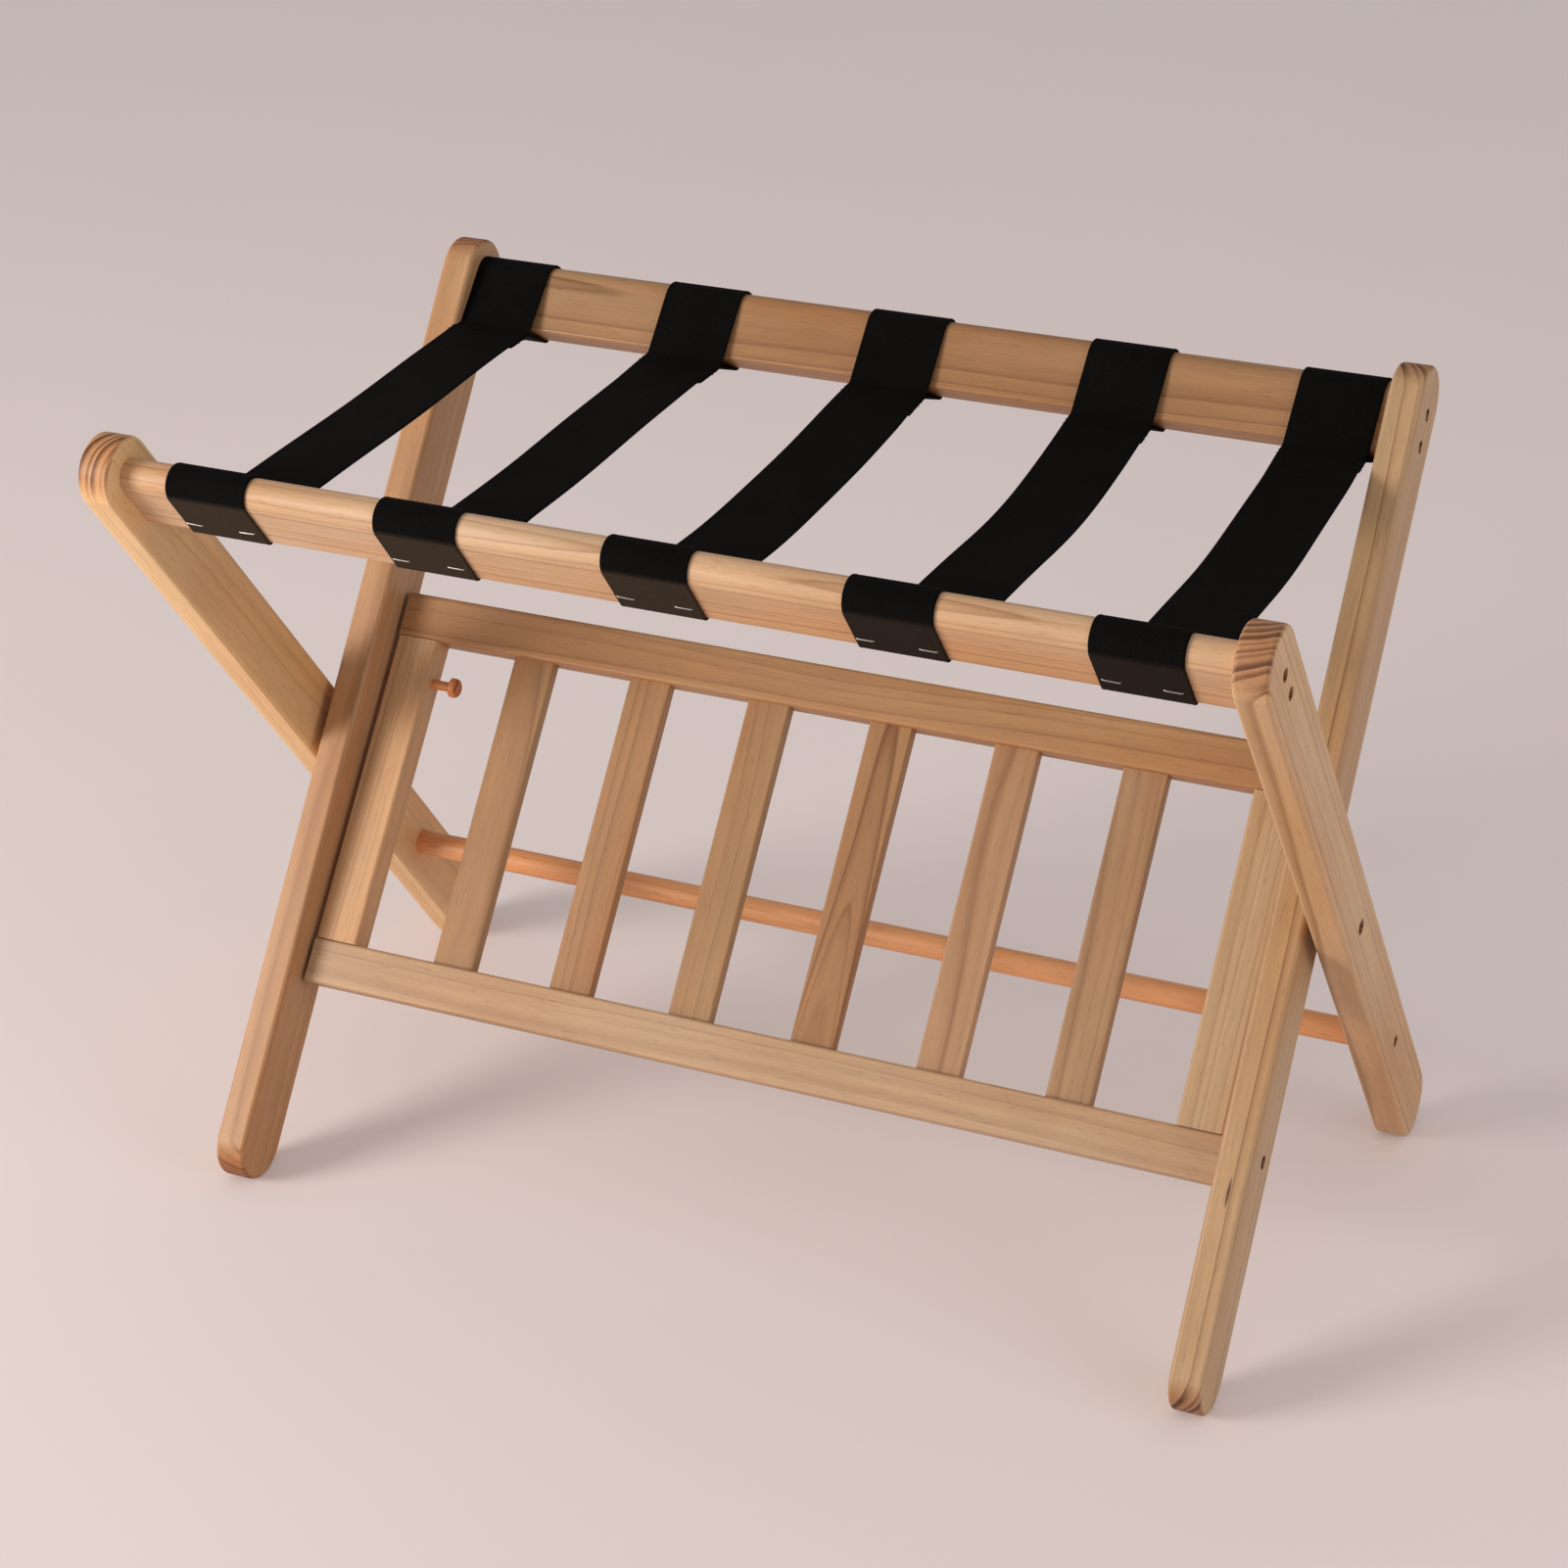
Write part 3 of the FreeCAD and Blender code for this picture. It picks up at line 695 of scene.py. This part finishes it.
def rail_loop(sag, raised, lap, gap, thickness):
    """From the kink over the rear rail, round its lower edge and back under the span to the end."""
    off_rail = gap + thickness / 2
    kink = kink_turn(raised)
    heading = run_heading(sag, kink)
    ahead = Vector((math.cos(heading), math.sin(heading)))
    seam = kink[0] - left_of(heading) * (KINK_RADIUS + thickness + LAP_GAP)
    edge = frame_point(INNER_TURN, CREST_RADIUS - RAIL_EDGE, RAIL_BOTTOM + RAIL_EDGE)
    return [
        kink,
        (frame_point(INNER_TURN, 0, CREST_ALONG), CREST_RADIUS + off_rail, -1),
        (edge, RAIL_EDGE + off_rail, -1),
        (seam - left_of(heading) * CORNER_RADIUS, CORNER_RADIUS, 1),
        (seam - ahead * lap, 0, 1),
    ]


def strap_turns(strap, thickness):
    """The whole way of one strap: a sewn loop round each rail and the sag between them."""
    low, high = sorted(strap.raised)
    kink_centre = kink_turn(low)[0]
    reach = kink_centre.x - abs(strap.forward)
    drop = max(strap.sag, LEAST_SAG) + high - low
    sag_radius = SAG_ROUNDNESS * reach * reach / (2 * drop)
    lowest = kink_centre.y - KINK_RADIUS - strap.sag
    sag = (Vector((-strap.forward, lowest + sag_radius)), sag_radius, 1)
    front = rail_loop(mirrored([sag])[0], strap.raised[0], strap.lap, 0.0, thickness)
    return mirrored(front) + [sag] + rail_loop(sag, strap.raised[1], strap.lap, REAR_GAP, thickness)


def strap_path(strap, webbing):
    """Arrays along a strap: middle point, left-hand normal, distance and share of free span."""
    y, z, heading = np.array(route(strap_turns(strap, webbing.thickness))).T
    distance = np.concatenate([[0], np.cumsum(np.hypot(np.diff(y), np.diff(z)))])
    reach = kink_turn()[0].x
    over = eased(np.clip((y + reach) / (2 * reach), 0, 1))
    climb = np.clip((y - reach) / (frame_point(INNER_TURN, 0, CREST_ALONG).x - reach), 0, 1)
    x = strap.front + (strap.rear - ASKEW - strap.front) * over + ASKEW * climb
    free = eased(np.clip((reach - abs(y)) / LOOSE_FROM, 0, 1))
    normal = np.stack([np.zeros_like(y), -np.sin(heading), np.cos(heading)], 1)
    return np.stack([x, y, z], 1), normal, distance, free


def strap_section(webbing):
    """Half thickness at each place across the strap: flat, with a corded selvedge at both edges."""
    half = webbing.width / 2
    inner_half = half - SELVEDGE[-1][0] * MM
    left = [-half + place * MM for place, share in SELVEDGE]
    rim = [webbing.thickness / 2 * share for place, share in SELVEDGE]
    flat = [-inner_half + 2 * inner_half * column / FLAT_COLUMNS for column in range(1, FLAT_COLUMNS)]
    across = left + flat + [-place for place in reversed(left)]
    return np.array(across), np.array(rim + [webbing.thickness / 2] * len(flat) + rim[::-1])


def strap_surface(strap, webbing):
    """Points of the strap's middle sheet and its normals, one row for each station."""
    line, normal, distance, free = strap_path(strap, webbing)
    across, heights = strap_section(webbing)
    wave = np.sin(line[:, 1] * WAVE_TURN + strap.number * WAVE_SHIFT) * WAVE_DEPTH
    bow = strap.cup * (across / across[-1]) ** 2
    upward = normal * np.where(normal[:, 2:] < 0, -1.0, 1.0)
    rows = line[:, None, :] + across[None, :, None] * np.array([1.0, 0, 0])
    rows[:, :, 0] += ((wave + strap.stray) * free)[:, None]
    lifted = free[:, None] * (bow + math.tan(strap.roll) * across)[None, :]
    rows = rows + lifted[..., None] * upward[:, None, :]
    return rows, normal, distance, heights, across


def painted_light_share(strap, normal):
    """How much painted light each station takes: fully on the front rail's outer face, and none round
    its crest.
    """
    outwards = frame_point(OUTER_TURN, -1, 0) - frame_point(OUTER_TURN, 0, 0)
    facing = normal[:, 1] * outwards.x + normal[:, 2] * outwards.y
    return strap.painted_light_amount * np.clip((facing - PAINTED_LIGHT_FROM) / (PAINTED_LIGHT_FULLY - PAINTED_LIGHT_FROM), 0, 1)


def ribbon_faces(count, columns):
    """Faces round a ribbon of this many rows, whose lower sheet's points follow the upper's."""
    below = count * columns
    last = (count - 1) * columns
    faces = []
    for left in range(0, last, columns):
        right = left + columns - 1
        for a in range(left, right):
            b = a + columns
            faces.append((a, a + 1, b + 1, b))
            faces.append((below + a, below + b, below + b + 1, below + a + 1))
        faces.append((left, left + columns, below + left + columns, below + left))
        faces.append((below + right, below + right + columns, right + columns, right))
    ends = [(a, a + 1, below + a + 1, below + a) for a in range(columns - 1)]
    faces += [end[::-1] for end in ends]
    faces += [tuple(last + corner for corner in end) for end in ends]
    return faces


def build_strap(strap, webbing):
    """A closed ribbon with rounded selvedges and heat-cut ends, and a UV map in metres."""
    rows, normal, distance, heights, across = strap_surface(strap, webbing)
    count, columns = rows.shape[:2]
    taper = np.ones(count)
    taper[0] = taper[-1] = END_THICKNESS
    thick = heights[None, :, None] * taper[:, None, None] * normal[:, None, :]
    points = np.concatenate([(rows + thick).reshape(-1, 3), (rows - thick).reshape(-1, 3)])
    made = new_mesh_object("webbing_strap_%d" % strap.number, points, (), ribbon_faces(count, columns))
    flat_map = np.tile(np.stack([np.tile(across, count), np.repeat(distance, columns)], 1), (2, 1))
    corners = np.zeros(len(made.data.loops), np.int32)
    made.data.loops.foreach_get("vertex_index", corners)
    made.data.uv_layers.new(name="weave").data.foreach_set("uv", flat_map[corners].ravel())
    # Each point's share of painted light on the front rail's face.
    painted_front_light = np.tile(np.repeat(painted_light_share(strap, normal), columns), 2)
    made.data.attributes.new("painted_front_light", "FLOAT", "POINT").data.foreach_set("value", painted_front_light)
    return made


# The size of the fuzz and of the dusty patches, and a groove's share of the warp pitch.
FUZZ_SIZE = 0.5 * MM
DUST_SIZE = 30 * MM
GROOVE_SHARE = 0.16


def woven_webbing(webbing):
    """Woven webbing of spun black yarn: rows of short floats with dusty, fuzzy crowns.

    It is nearly black, with painted light on the front rail's face, where it is browner and paler.
    """
    material, add = new_material("woven_black_webbing")
    tree = material.node_tree
    along = add("ShaderNodeMapping", add("ShaderNodeUVMap", uv_map="weave"),
                named={"Rotation": (0, 0, math.radians(90))})
    weave = add("ShaderNodeTexBrick", along, offset=0.5, offset_frequency=2, named={
        "Scale": 1.0, "Color1": (1, 1, 1, 1), "Color2": (0.72, 0.72, 0.72, 1),
        "Mortar": (0, 0, 0, 1), "Brick Width": webbing.weft_pitch, "Row Height": webbing.warp_pitch,
        "Mortar Size": webbing.warp_pitch * GROOVE_SHARE, "Mortar Smooth": 1.0, "Bias": 0.0})
    place = out(add("ShaderNodeTexCoord"), "Object")
    fuzz = spots(tree, place, FUZZ_SIZE, FUZZ_SIZE, 3)
    dust = spots(tree, place, DUST_SIZE, DUST_SIZE, 3)
    fuzzy = add(MATH, fuzz, 0.6, 0.5, operation="MULTIPLY_ADD")
    crown = add(MATH, weave, fuzzy, operation="MULTIPLY")
    dusty = add(MATH, dust, 0.9, 0.15, operation="MULTIPLY_ADD")
    greyed = add(MATH, crown, dusty, operation="MULTIPLY")
    # Painted light on the front faces, a little stronger on the crowns of the weave.
    raised = add(MATH, crown, 0.6, 0.55, operation="MULTIPLY_ADD")
    painted_front_light = out(add("ShaderNodeAttribute", attribute_name="painted_front_light"), "Fac")
    painted_light_mix = add(MATH, painted_front_light, raised, operation="MULTIPLY")
    shade = add(MIX, greyed, webbing.yarn, webbing.lint, data_type="RGBA")
    shade = add(MIX, painted_light_mix, shade, webbing.painted_front_light, data_type="RGBA")
    relief = add("ShaderNodeBump", named={"Strength": 0.7, "Distance": 0.4 * MM, "Height": crown})
    cloth = add(PRINCIPLED, named={
        "Base Color": shade, "Roughness": add(MATH, fuzz, 0.15, 0.75, operation="MULTIPLY_ADD"),
        "Normal": relief, "IOR": 1.46, "Specular IOR Level": 0.05,
        "Sheen Weight": 0.01, "Sheen Roughness": 0.4, "Sheen Tint": linear("#8A8280")})
    add("ShaderNodeOutputMaterial", cloth)
    return material


class RACK_OT_straps(bpy.types.Operator):
    """Weave the five straps: a sewn loop round each rail and a sagging span between them"""
    bl_idname = "rack.straps"
    bl_label = "Make the straps"

    def execute(self, context):
        webbing = context.scene.rack_webbing
        material = woven_webbing(webbing)
        for strap in straps():
            piece = build_strap(strap, webbing)
            piece.data.materials.append(material)
            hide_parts("strap_%d" % strap.number)
            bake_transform(piece)
        return {"FINISHED"}


# ---- Stitches and staples ----

def sewing_thread():
    """Bonded black thread: smoother than the webbing, so each stitch catches a small gleam."""
    return mottled("bonded_black_thread", 0.3 * MM, 2, ("#080808", "#121212"), (0.15, 0.7),
                   {"IOR": 1.5, "Specular IOR Level": 0.08})


def galvanised_wire():
    """Galvanised wire: pale zinc, drawn smooth, a little dulled in patches."""
    return mottled("galvanised_wire", 1.5 * MM, 3, ("#C9C5BD", "#9A968F"), (0.25, 0.25),
                   {"Metallic": 1.0})


def finish_pieces(tree, pieces, finish, result):
    """Make a tree's instances real and smooth, give them their material and hand them out."""
    smooth = add_node(tree, "GeometryNodeSetShadeSmooth",
                      add_node(tree, "GeometryNodeRealizeInstances", pieces))
    finished = add_node(tree, "GeometryNodeSetMaterial", smooth, named={"Material": finish})
    tree.links.new(out(finished), result["Geometry"])
    return tree


def grow(base, tree, values, name):
    """Run a geometry node tree on a base object and keep its result as a plain mesh."""
    modifier = base.modifiers.new("grow", "NODES")
    modifier.node_group = tree
    for item in tree.interface.items_tree:
        if item.in_out == "INPUT" and item.name in values:
            modifier[item.identifier] = values[item.name]
    bpy.context.view_layer.update()
    seen = base.evaluated_get(bpy.context.evaluated_depsgraph_get())
    mesh = bpy.data.meshes.new_from_object(seen)
    bpy.data.objects.remove(base)
    if not mesh.polygons:
        raise RuntimeError(name + " came out empty")
    mesh.name = name
    return add_object(name, mesh)


STITCH_SHARE = 0.82


def stitch_tree():
    """Stitches set end to end along the edges of the base, lying on the cloth below them."""
    tree, given, result = new_tree(
        "stitches", "GeometryNodeTree",
        {"Geometry": "Geometry", "Pitch": "Float", "Thread": "Float", "Thread finish": "Material"},
        {"Geometry": "Geometry"})
    add = partial(add_node, tree)
    seams = add("GeometryNodeMeshToCurve", given["Geometry"])
    spaced = add("GeometryNodeResampleCurve", seams, mode="LENGTH", named={"Length": given["Pitch"]})
    bead = add("GeometryNodeMeshUVSphere", named={"Segments": 8, "Rings": 6, "Radius": 0.5})
    reach = add(MATH, given["Pitch"], STITCH_SHARE, operation="MULTIPLY")
    size = add("ShaderNodeCombineXYZ", reach, given["Thread"], given["Thread"])
    along = add("FunctionNodeAlignRotationToVector", axis="X",
                named={"Vector": add("GeometryNodeInputTangent")})
    stitches = add("GeometryNodeInstanceOnPoints", spaced,
                   named={"Instance": bead, "Rotation": along, "Scale": size})
    return finish_pieces(tree, stitches, given["Thread finish"], result)


SEAM_PLACES = (4 * MM, 10 * MM)
SEAM_COLUMNS_IN = 2
THREAD_SUNK = 0.2
ENDS = {"front": "outer_frame", "rear": "inner_frame"}


def seam_lines(webbing, end):
    """Two rows across each sewn lap, on the top of the span and on the underside of the tail."""
    points = []
    for strap in straps():
        rows, normal, distance = strap_surface(strap, webbing)[:3]
        for behind in SEAM_PLACES:
            at = strap.lap - behind if end == "front" else distance[-1] - strap.lap + behind
            row = int(np.argmin(abs(distance - at)))
            for height in (webbing.thickness / 2, -1.5 * webbing.thickness - LAP_GAP):
                sunk = math.copysign(webbing.thread * THREAD_SUNK, height)
                for column in (SEAM_COLUMNS_IN, -1 - SEAM_COLUMNS_IN):
                    points.append(rows[row, column] + normal[row] * (height + sunk))
    return points, [(first, first + 1) for first in range(0, len(points), 2)]


class RACK_OT_stitches(bpy.types.Operator):
    """Sew down both tails of each strap beside the rails"""
    bl_idname = "rack.stitches"
    bl_label = "Sew the laps"

    def execute(self, context):
        webbing = context.scene.rack_webbing
        thread = sewing_thread()
        tree = stitch_tree()
        for end, body in ENDS.items():
            piece = grow(new_mesh_object("seams", *seam_lines(webbing, end)), tree, {
                "Pitch": webbing.stitch_pitch, "Thread": webbing.thread, "Thread finish": thread,
            }, "lap_stitches_" + end)
            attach(piece, body)
        return {"FINISHED"}


HAND_TURN = 0.07


def staple_tree():
    """A bent wire staple at each point of the base, each turned a little by hand."""
    tree, given, result = new_tree(
        "staples", "GeometryNodeTree",
        {"Geometry": "Geometry", "Crown": "Float", "Wire": "Float", "Leg": "Float", "Bend": "Float",
         "Seed": "Int", "Lean": "Rotation", "Wire finish": "Material"}, {"Geometry": "Geometry"})
    add = partial(add_node, tree)
    half = add(MATH, given["Crown"], 0.5, operation="MULTIPLY")
    back = add(MATH, half, -1.0, operation="MULTIPLY")
    corners = [add("ShaderNodeCombineXYZ", x, y)
               for x, y in ((back, given["Leg"]), (back, 0.0), (half, 0.0), (half, given["Leg"]))]
    lines = add("GeometryNodeJoinGeometry")
    for start, end in zip(corners, corners[1:]):
        line = add("GeometryNodeCurveToMesh", add("GeometryNodeCurvePrimitiveLine", start, end))
        tree.links.new(out(line), lines.inputs[0])
    path = add("GeometryNodeMeshToCurve", add("GeometryNodeMergeByDistance", lines))
    bent = add("GeometryNodeFilletCurve", path, mode="POLY",
               named={"Radius": given["Bend"], "Count": 5})
    half_wire = add(MATH, given["Wire"], 0.5, operation="MULTIPLY")
    section = add("GeometryNodeCurvePrimitiveCircle", named={"Resolution": 12, "Radius": half_wire})
    wire = add("GeometryNodeCurveToMesh", bent, named={"Profile Curve": section, "Fill Caps": True})
    stray = add("FunctionNodeRandomValue", data_type="FLOAT_VECTOR", named={
        "Min": (0, -HAND_TURN, 0), "Max": (0, HAND_TURN, 0), "Seed": given["Seed"]})
    turn = add("FunctionNodeRotateRotation", given["Lean"], add("FunctionNodeEulerToRotation", stray),
               rotation_space="LOCAL")
    staples = add("GeometryNodeInstanceOnPoints", given["Geometry"],
                  named={"Instance": wire, "Rotation": turn})
    return finish_pieces(tree, staples, given["Wire finish"], result)


STAPLE_ABOVE_EDGE = 11.6 * MM
STAPLE_SPOTS = (-18.0 * MM, 15.5 * MM)
STAPLE_STRAY = 0.8 * MM
STAPLE_SUNK = 0.3


class RACK_OT_staples(bpy.types.Operator):
    """Drive two wire staples through each strap into the front rail"""
    bl_idname = "rack.staples"
    bl_label = "Drive the staples"

    def execute(self, context):
        wire = context.scene.rack_wire
        webbing = context.scene.rack_webbing
        face = -CREST_RADIUS - webbing.thickness - wire.wire * STAPLE_SUNK
        hand = random.Random(wire.seed)
        places = []
        for strap in straps():
            for spot in STAPLE_SPOTS:
                height = STAPLE_ABOVE_EDGE + hand.uniform(-STAPLE_STRAY, STAPLE_STRAY)
                y, z = frame_point(OUTER_TURN, face, RAIL_BOTTOM + height)
                places.append((strap.front + spot + hand.uniform(-STAPLE_STRAY, STAPLE_STRAY), y, z))
        piece = grow(new_mesh_object("places", places), staple_tree(), {
            "Crown": wire.crown, "Wire": wire.wire, "Leg": wire.leg, "Bend": wire.bend,
            "Seed": wire.seed, "Lean": Euler((OUTER_LEAN, 0, 0)), "Wire finish": galvanised_wire(),
        }, "wire_staples")
        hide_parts("strap_staples")
        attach(piece, "outer_frame")
        return {"FINISHED"}


# ---- Stage ----

FLOOR_REACH = 14.0
ROLLER_MOTTLE = 0.5
MOTTLE_SHADE = 0.95
AIM = (0, 0, 0.25)


def seen_directly(add):
    """1 where the camera, a reflection or a clear material looks, 0 where light bounces."""
    rays = add("ShaderNodeLightPath")
    seen = add(MATH, out(rays, "Is Camera Ray"), out(rays, "Is Glossy Ray"), operation="MAXIMUM")
    return add(MATH, seen, out(rays, "Is Transmission Ray"), operation="MAXIMUM")


def plaster(stage):
    """Painted plaster floor: flat and pale, with the faintest roller mottle."""
    material, add = new_material("painted_plaster")
    mottle = spots(material.node_tree, out(add("ShaderNodeTexCoord"), "Object"),
                   ROLLER_MOTTLE, ROLLER_MOTTLE)
    darker = [share * MOTTLE_SHADE for share in stage.floor[:3]] + [1]
    glow = add(MATH, seen_directly(add), stage.floor_glow, operation="MULTIPLY")
    paint = add(PRINCIPLED, named={
        "Base Color": add(MIX, mottle, stage.floor, darker, data_type="RGBA"), "Roughness": 0.8,
        "Specular IOR Level": 0.2, "Emission Color": stage.floor, "Emission Strength": glow})
    add("ShaderNodeOutputMaterial", paint)
    return material


def add_floor(stage):
    corners = [(x * FLOOR_REACH, y * FLOOR_REACH, 0) for x, y in ((-1, -1), (1, -1), (1, 1), (-1, 1))]
    made = new_mesh_object("floor", corners, (), [(0, 1, 2, 3)], smooth=False)
    made.data.materials.append(plaster(stage))


def add_lamp(name, place, size, power, hex_code):
    """A square soft lamp that faces the middle of the rack."""
    data = bpy.data.lights.new(name, "AREA")
    data.shape = "SQUARE"
    data.size = size
    data.energy = power
    data.color = linear(hex_code)[:3]
    made = add_object(name, data)
    made.location = place
    made.rotation_euler = (Vector(AIM) - Vector(place)).to_track_quat("-Z", "Y").to_euler()


def add_surround(stage):
    """Even light from all round, which the camera and reflections see as the pale backdrop."""
    world = bpy.data.worlds.new("surround")
    world.use_nodes = True
    world.node_tree.nodes.clear()
    add = partial(add_node, world.node_tree)
    light = add("ShaderNodeBackground", stage.sky, stage.sky_strength)
    backdrop = add("ShaderNodeBackground", stage.floor, stage.sky_strength + stage.floor_glow)
    add("ShaderNodeOutputWorld", add("ShaderNodeMixShader", seen_directly(add), light, backdrop))
    bpy.context.scene.world = world


def add_camera(stage):
    data = bpy.data.cameras.new("camera")
    data.sensor_width = 36
    data.lens = stage.focal_length
    data.clip_start = 0.05
    data.clip_end = 60
    made = add_object("camera", data)
    turn = (Matrix.Rotation(stage.camera_azimuth, 3, "Z")
            @ Matrix.Rotation(math.radians(90) - stage.camera_dip, 3, "X")
            @ Matrix.Rotation(stage.camera_roll, 3, "Z"))
    made.matrix_world = Matrix.Translation(stage.camera_place) @ turn.to_4x4()
    bpy.context.scene.camera = made


class RACK_OT_stage(bpy.types.Operator):
    """Set the camera, the pale floor and the soft studio light"""
    bl_idname = "rack.stage"
    bl_label = "Set the stage"

    def execute(self, context):
        stage = context.scene.rack_stage
        add_camera(stage)
        add_floor(stage)
        add_surround(stage)
        add_lamp("key", place=(-2.2, -2.2, 1.15), size=1.2, power=stage.key_power,
                 hex_code="#FFFBF5")
        add_lamp("fill", place=(2.6, -0.6, 0.9), size=1.6, power=stage.fill_power,
                 hex_code="#FFFFFF")
        context.scene.view_settings.view_transform = "Standard"
        return {"FINISHED"}


# ---- Panel and registration ----

OPERATORS = (RACK_OT_stage, RACK_OT_boards, RACK_OT_legs, RACK_OT_turnery, RACK_OT_ironwork,
             RACK_OT_straps, RACK_OT_stitches, RACK_OT_staples)
SETTINGS = {"rack_timber": TimberSettings, "rack_webbing": WebbingSettings,
            "rack_wire": WireSettings, "rack_stage": StageSettings}


class RACK_PT_panel(bpy.types.Panel):
    """Lists the steps that dress the rack, and their settings"""
    bl_label = "Luggage rack"
    bl_idname = "RACK_PT_panel"
    bl_space_type = "VIEW_3D"
    bl_region_type = "UI"
    bl_category = "Luggage rack"

    def draw(self, context):
        for operator in OPERATORS:
            self.layout.operator(operator.bl_idname)
        for name, settings in SETTINGS.items():
            box = self.layout.box()
            box.label(text=settings.__doc__)
            for field in settings.__annotations__:
                box.prop(getattr(context.scene, name), field)


def register():
    for kind in (*SETTINGS.values(), *OPERATORS, RACK_PT_panel):
        bpy.utils.register_class(kind)
    for name, settings in SETTINGS.items():
        setattr(bpy.types.Scene, name, PointerProperty(type=settings))


def unregister():
    for name in SETTINGS:
        delattr(bpy.types.Scene, name)
    for kind in reversed((*SETTINGS.values(), *OPERATORS, RACK_PT_panel)):
        bpy.utils.unregister_class(kind)


def main():
    register()
    bpy.ops.rack.stage()
    bpy.ops.rack.boards()
    bpy.ops.rack.legs()
    bpy.ops.rack.turnery()
    bpy.ops.rack.ironwork()
    bpy.ops.rack.straps()
    bpy.ops.rack.stitches()
    bpy.ops.rack.staples()


if __name__ == "__main__":
    main()
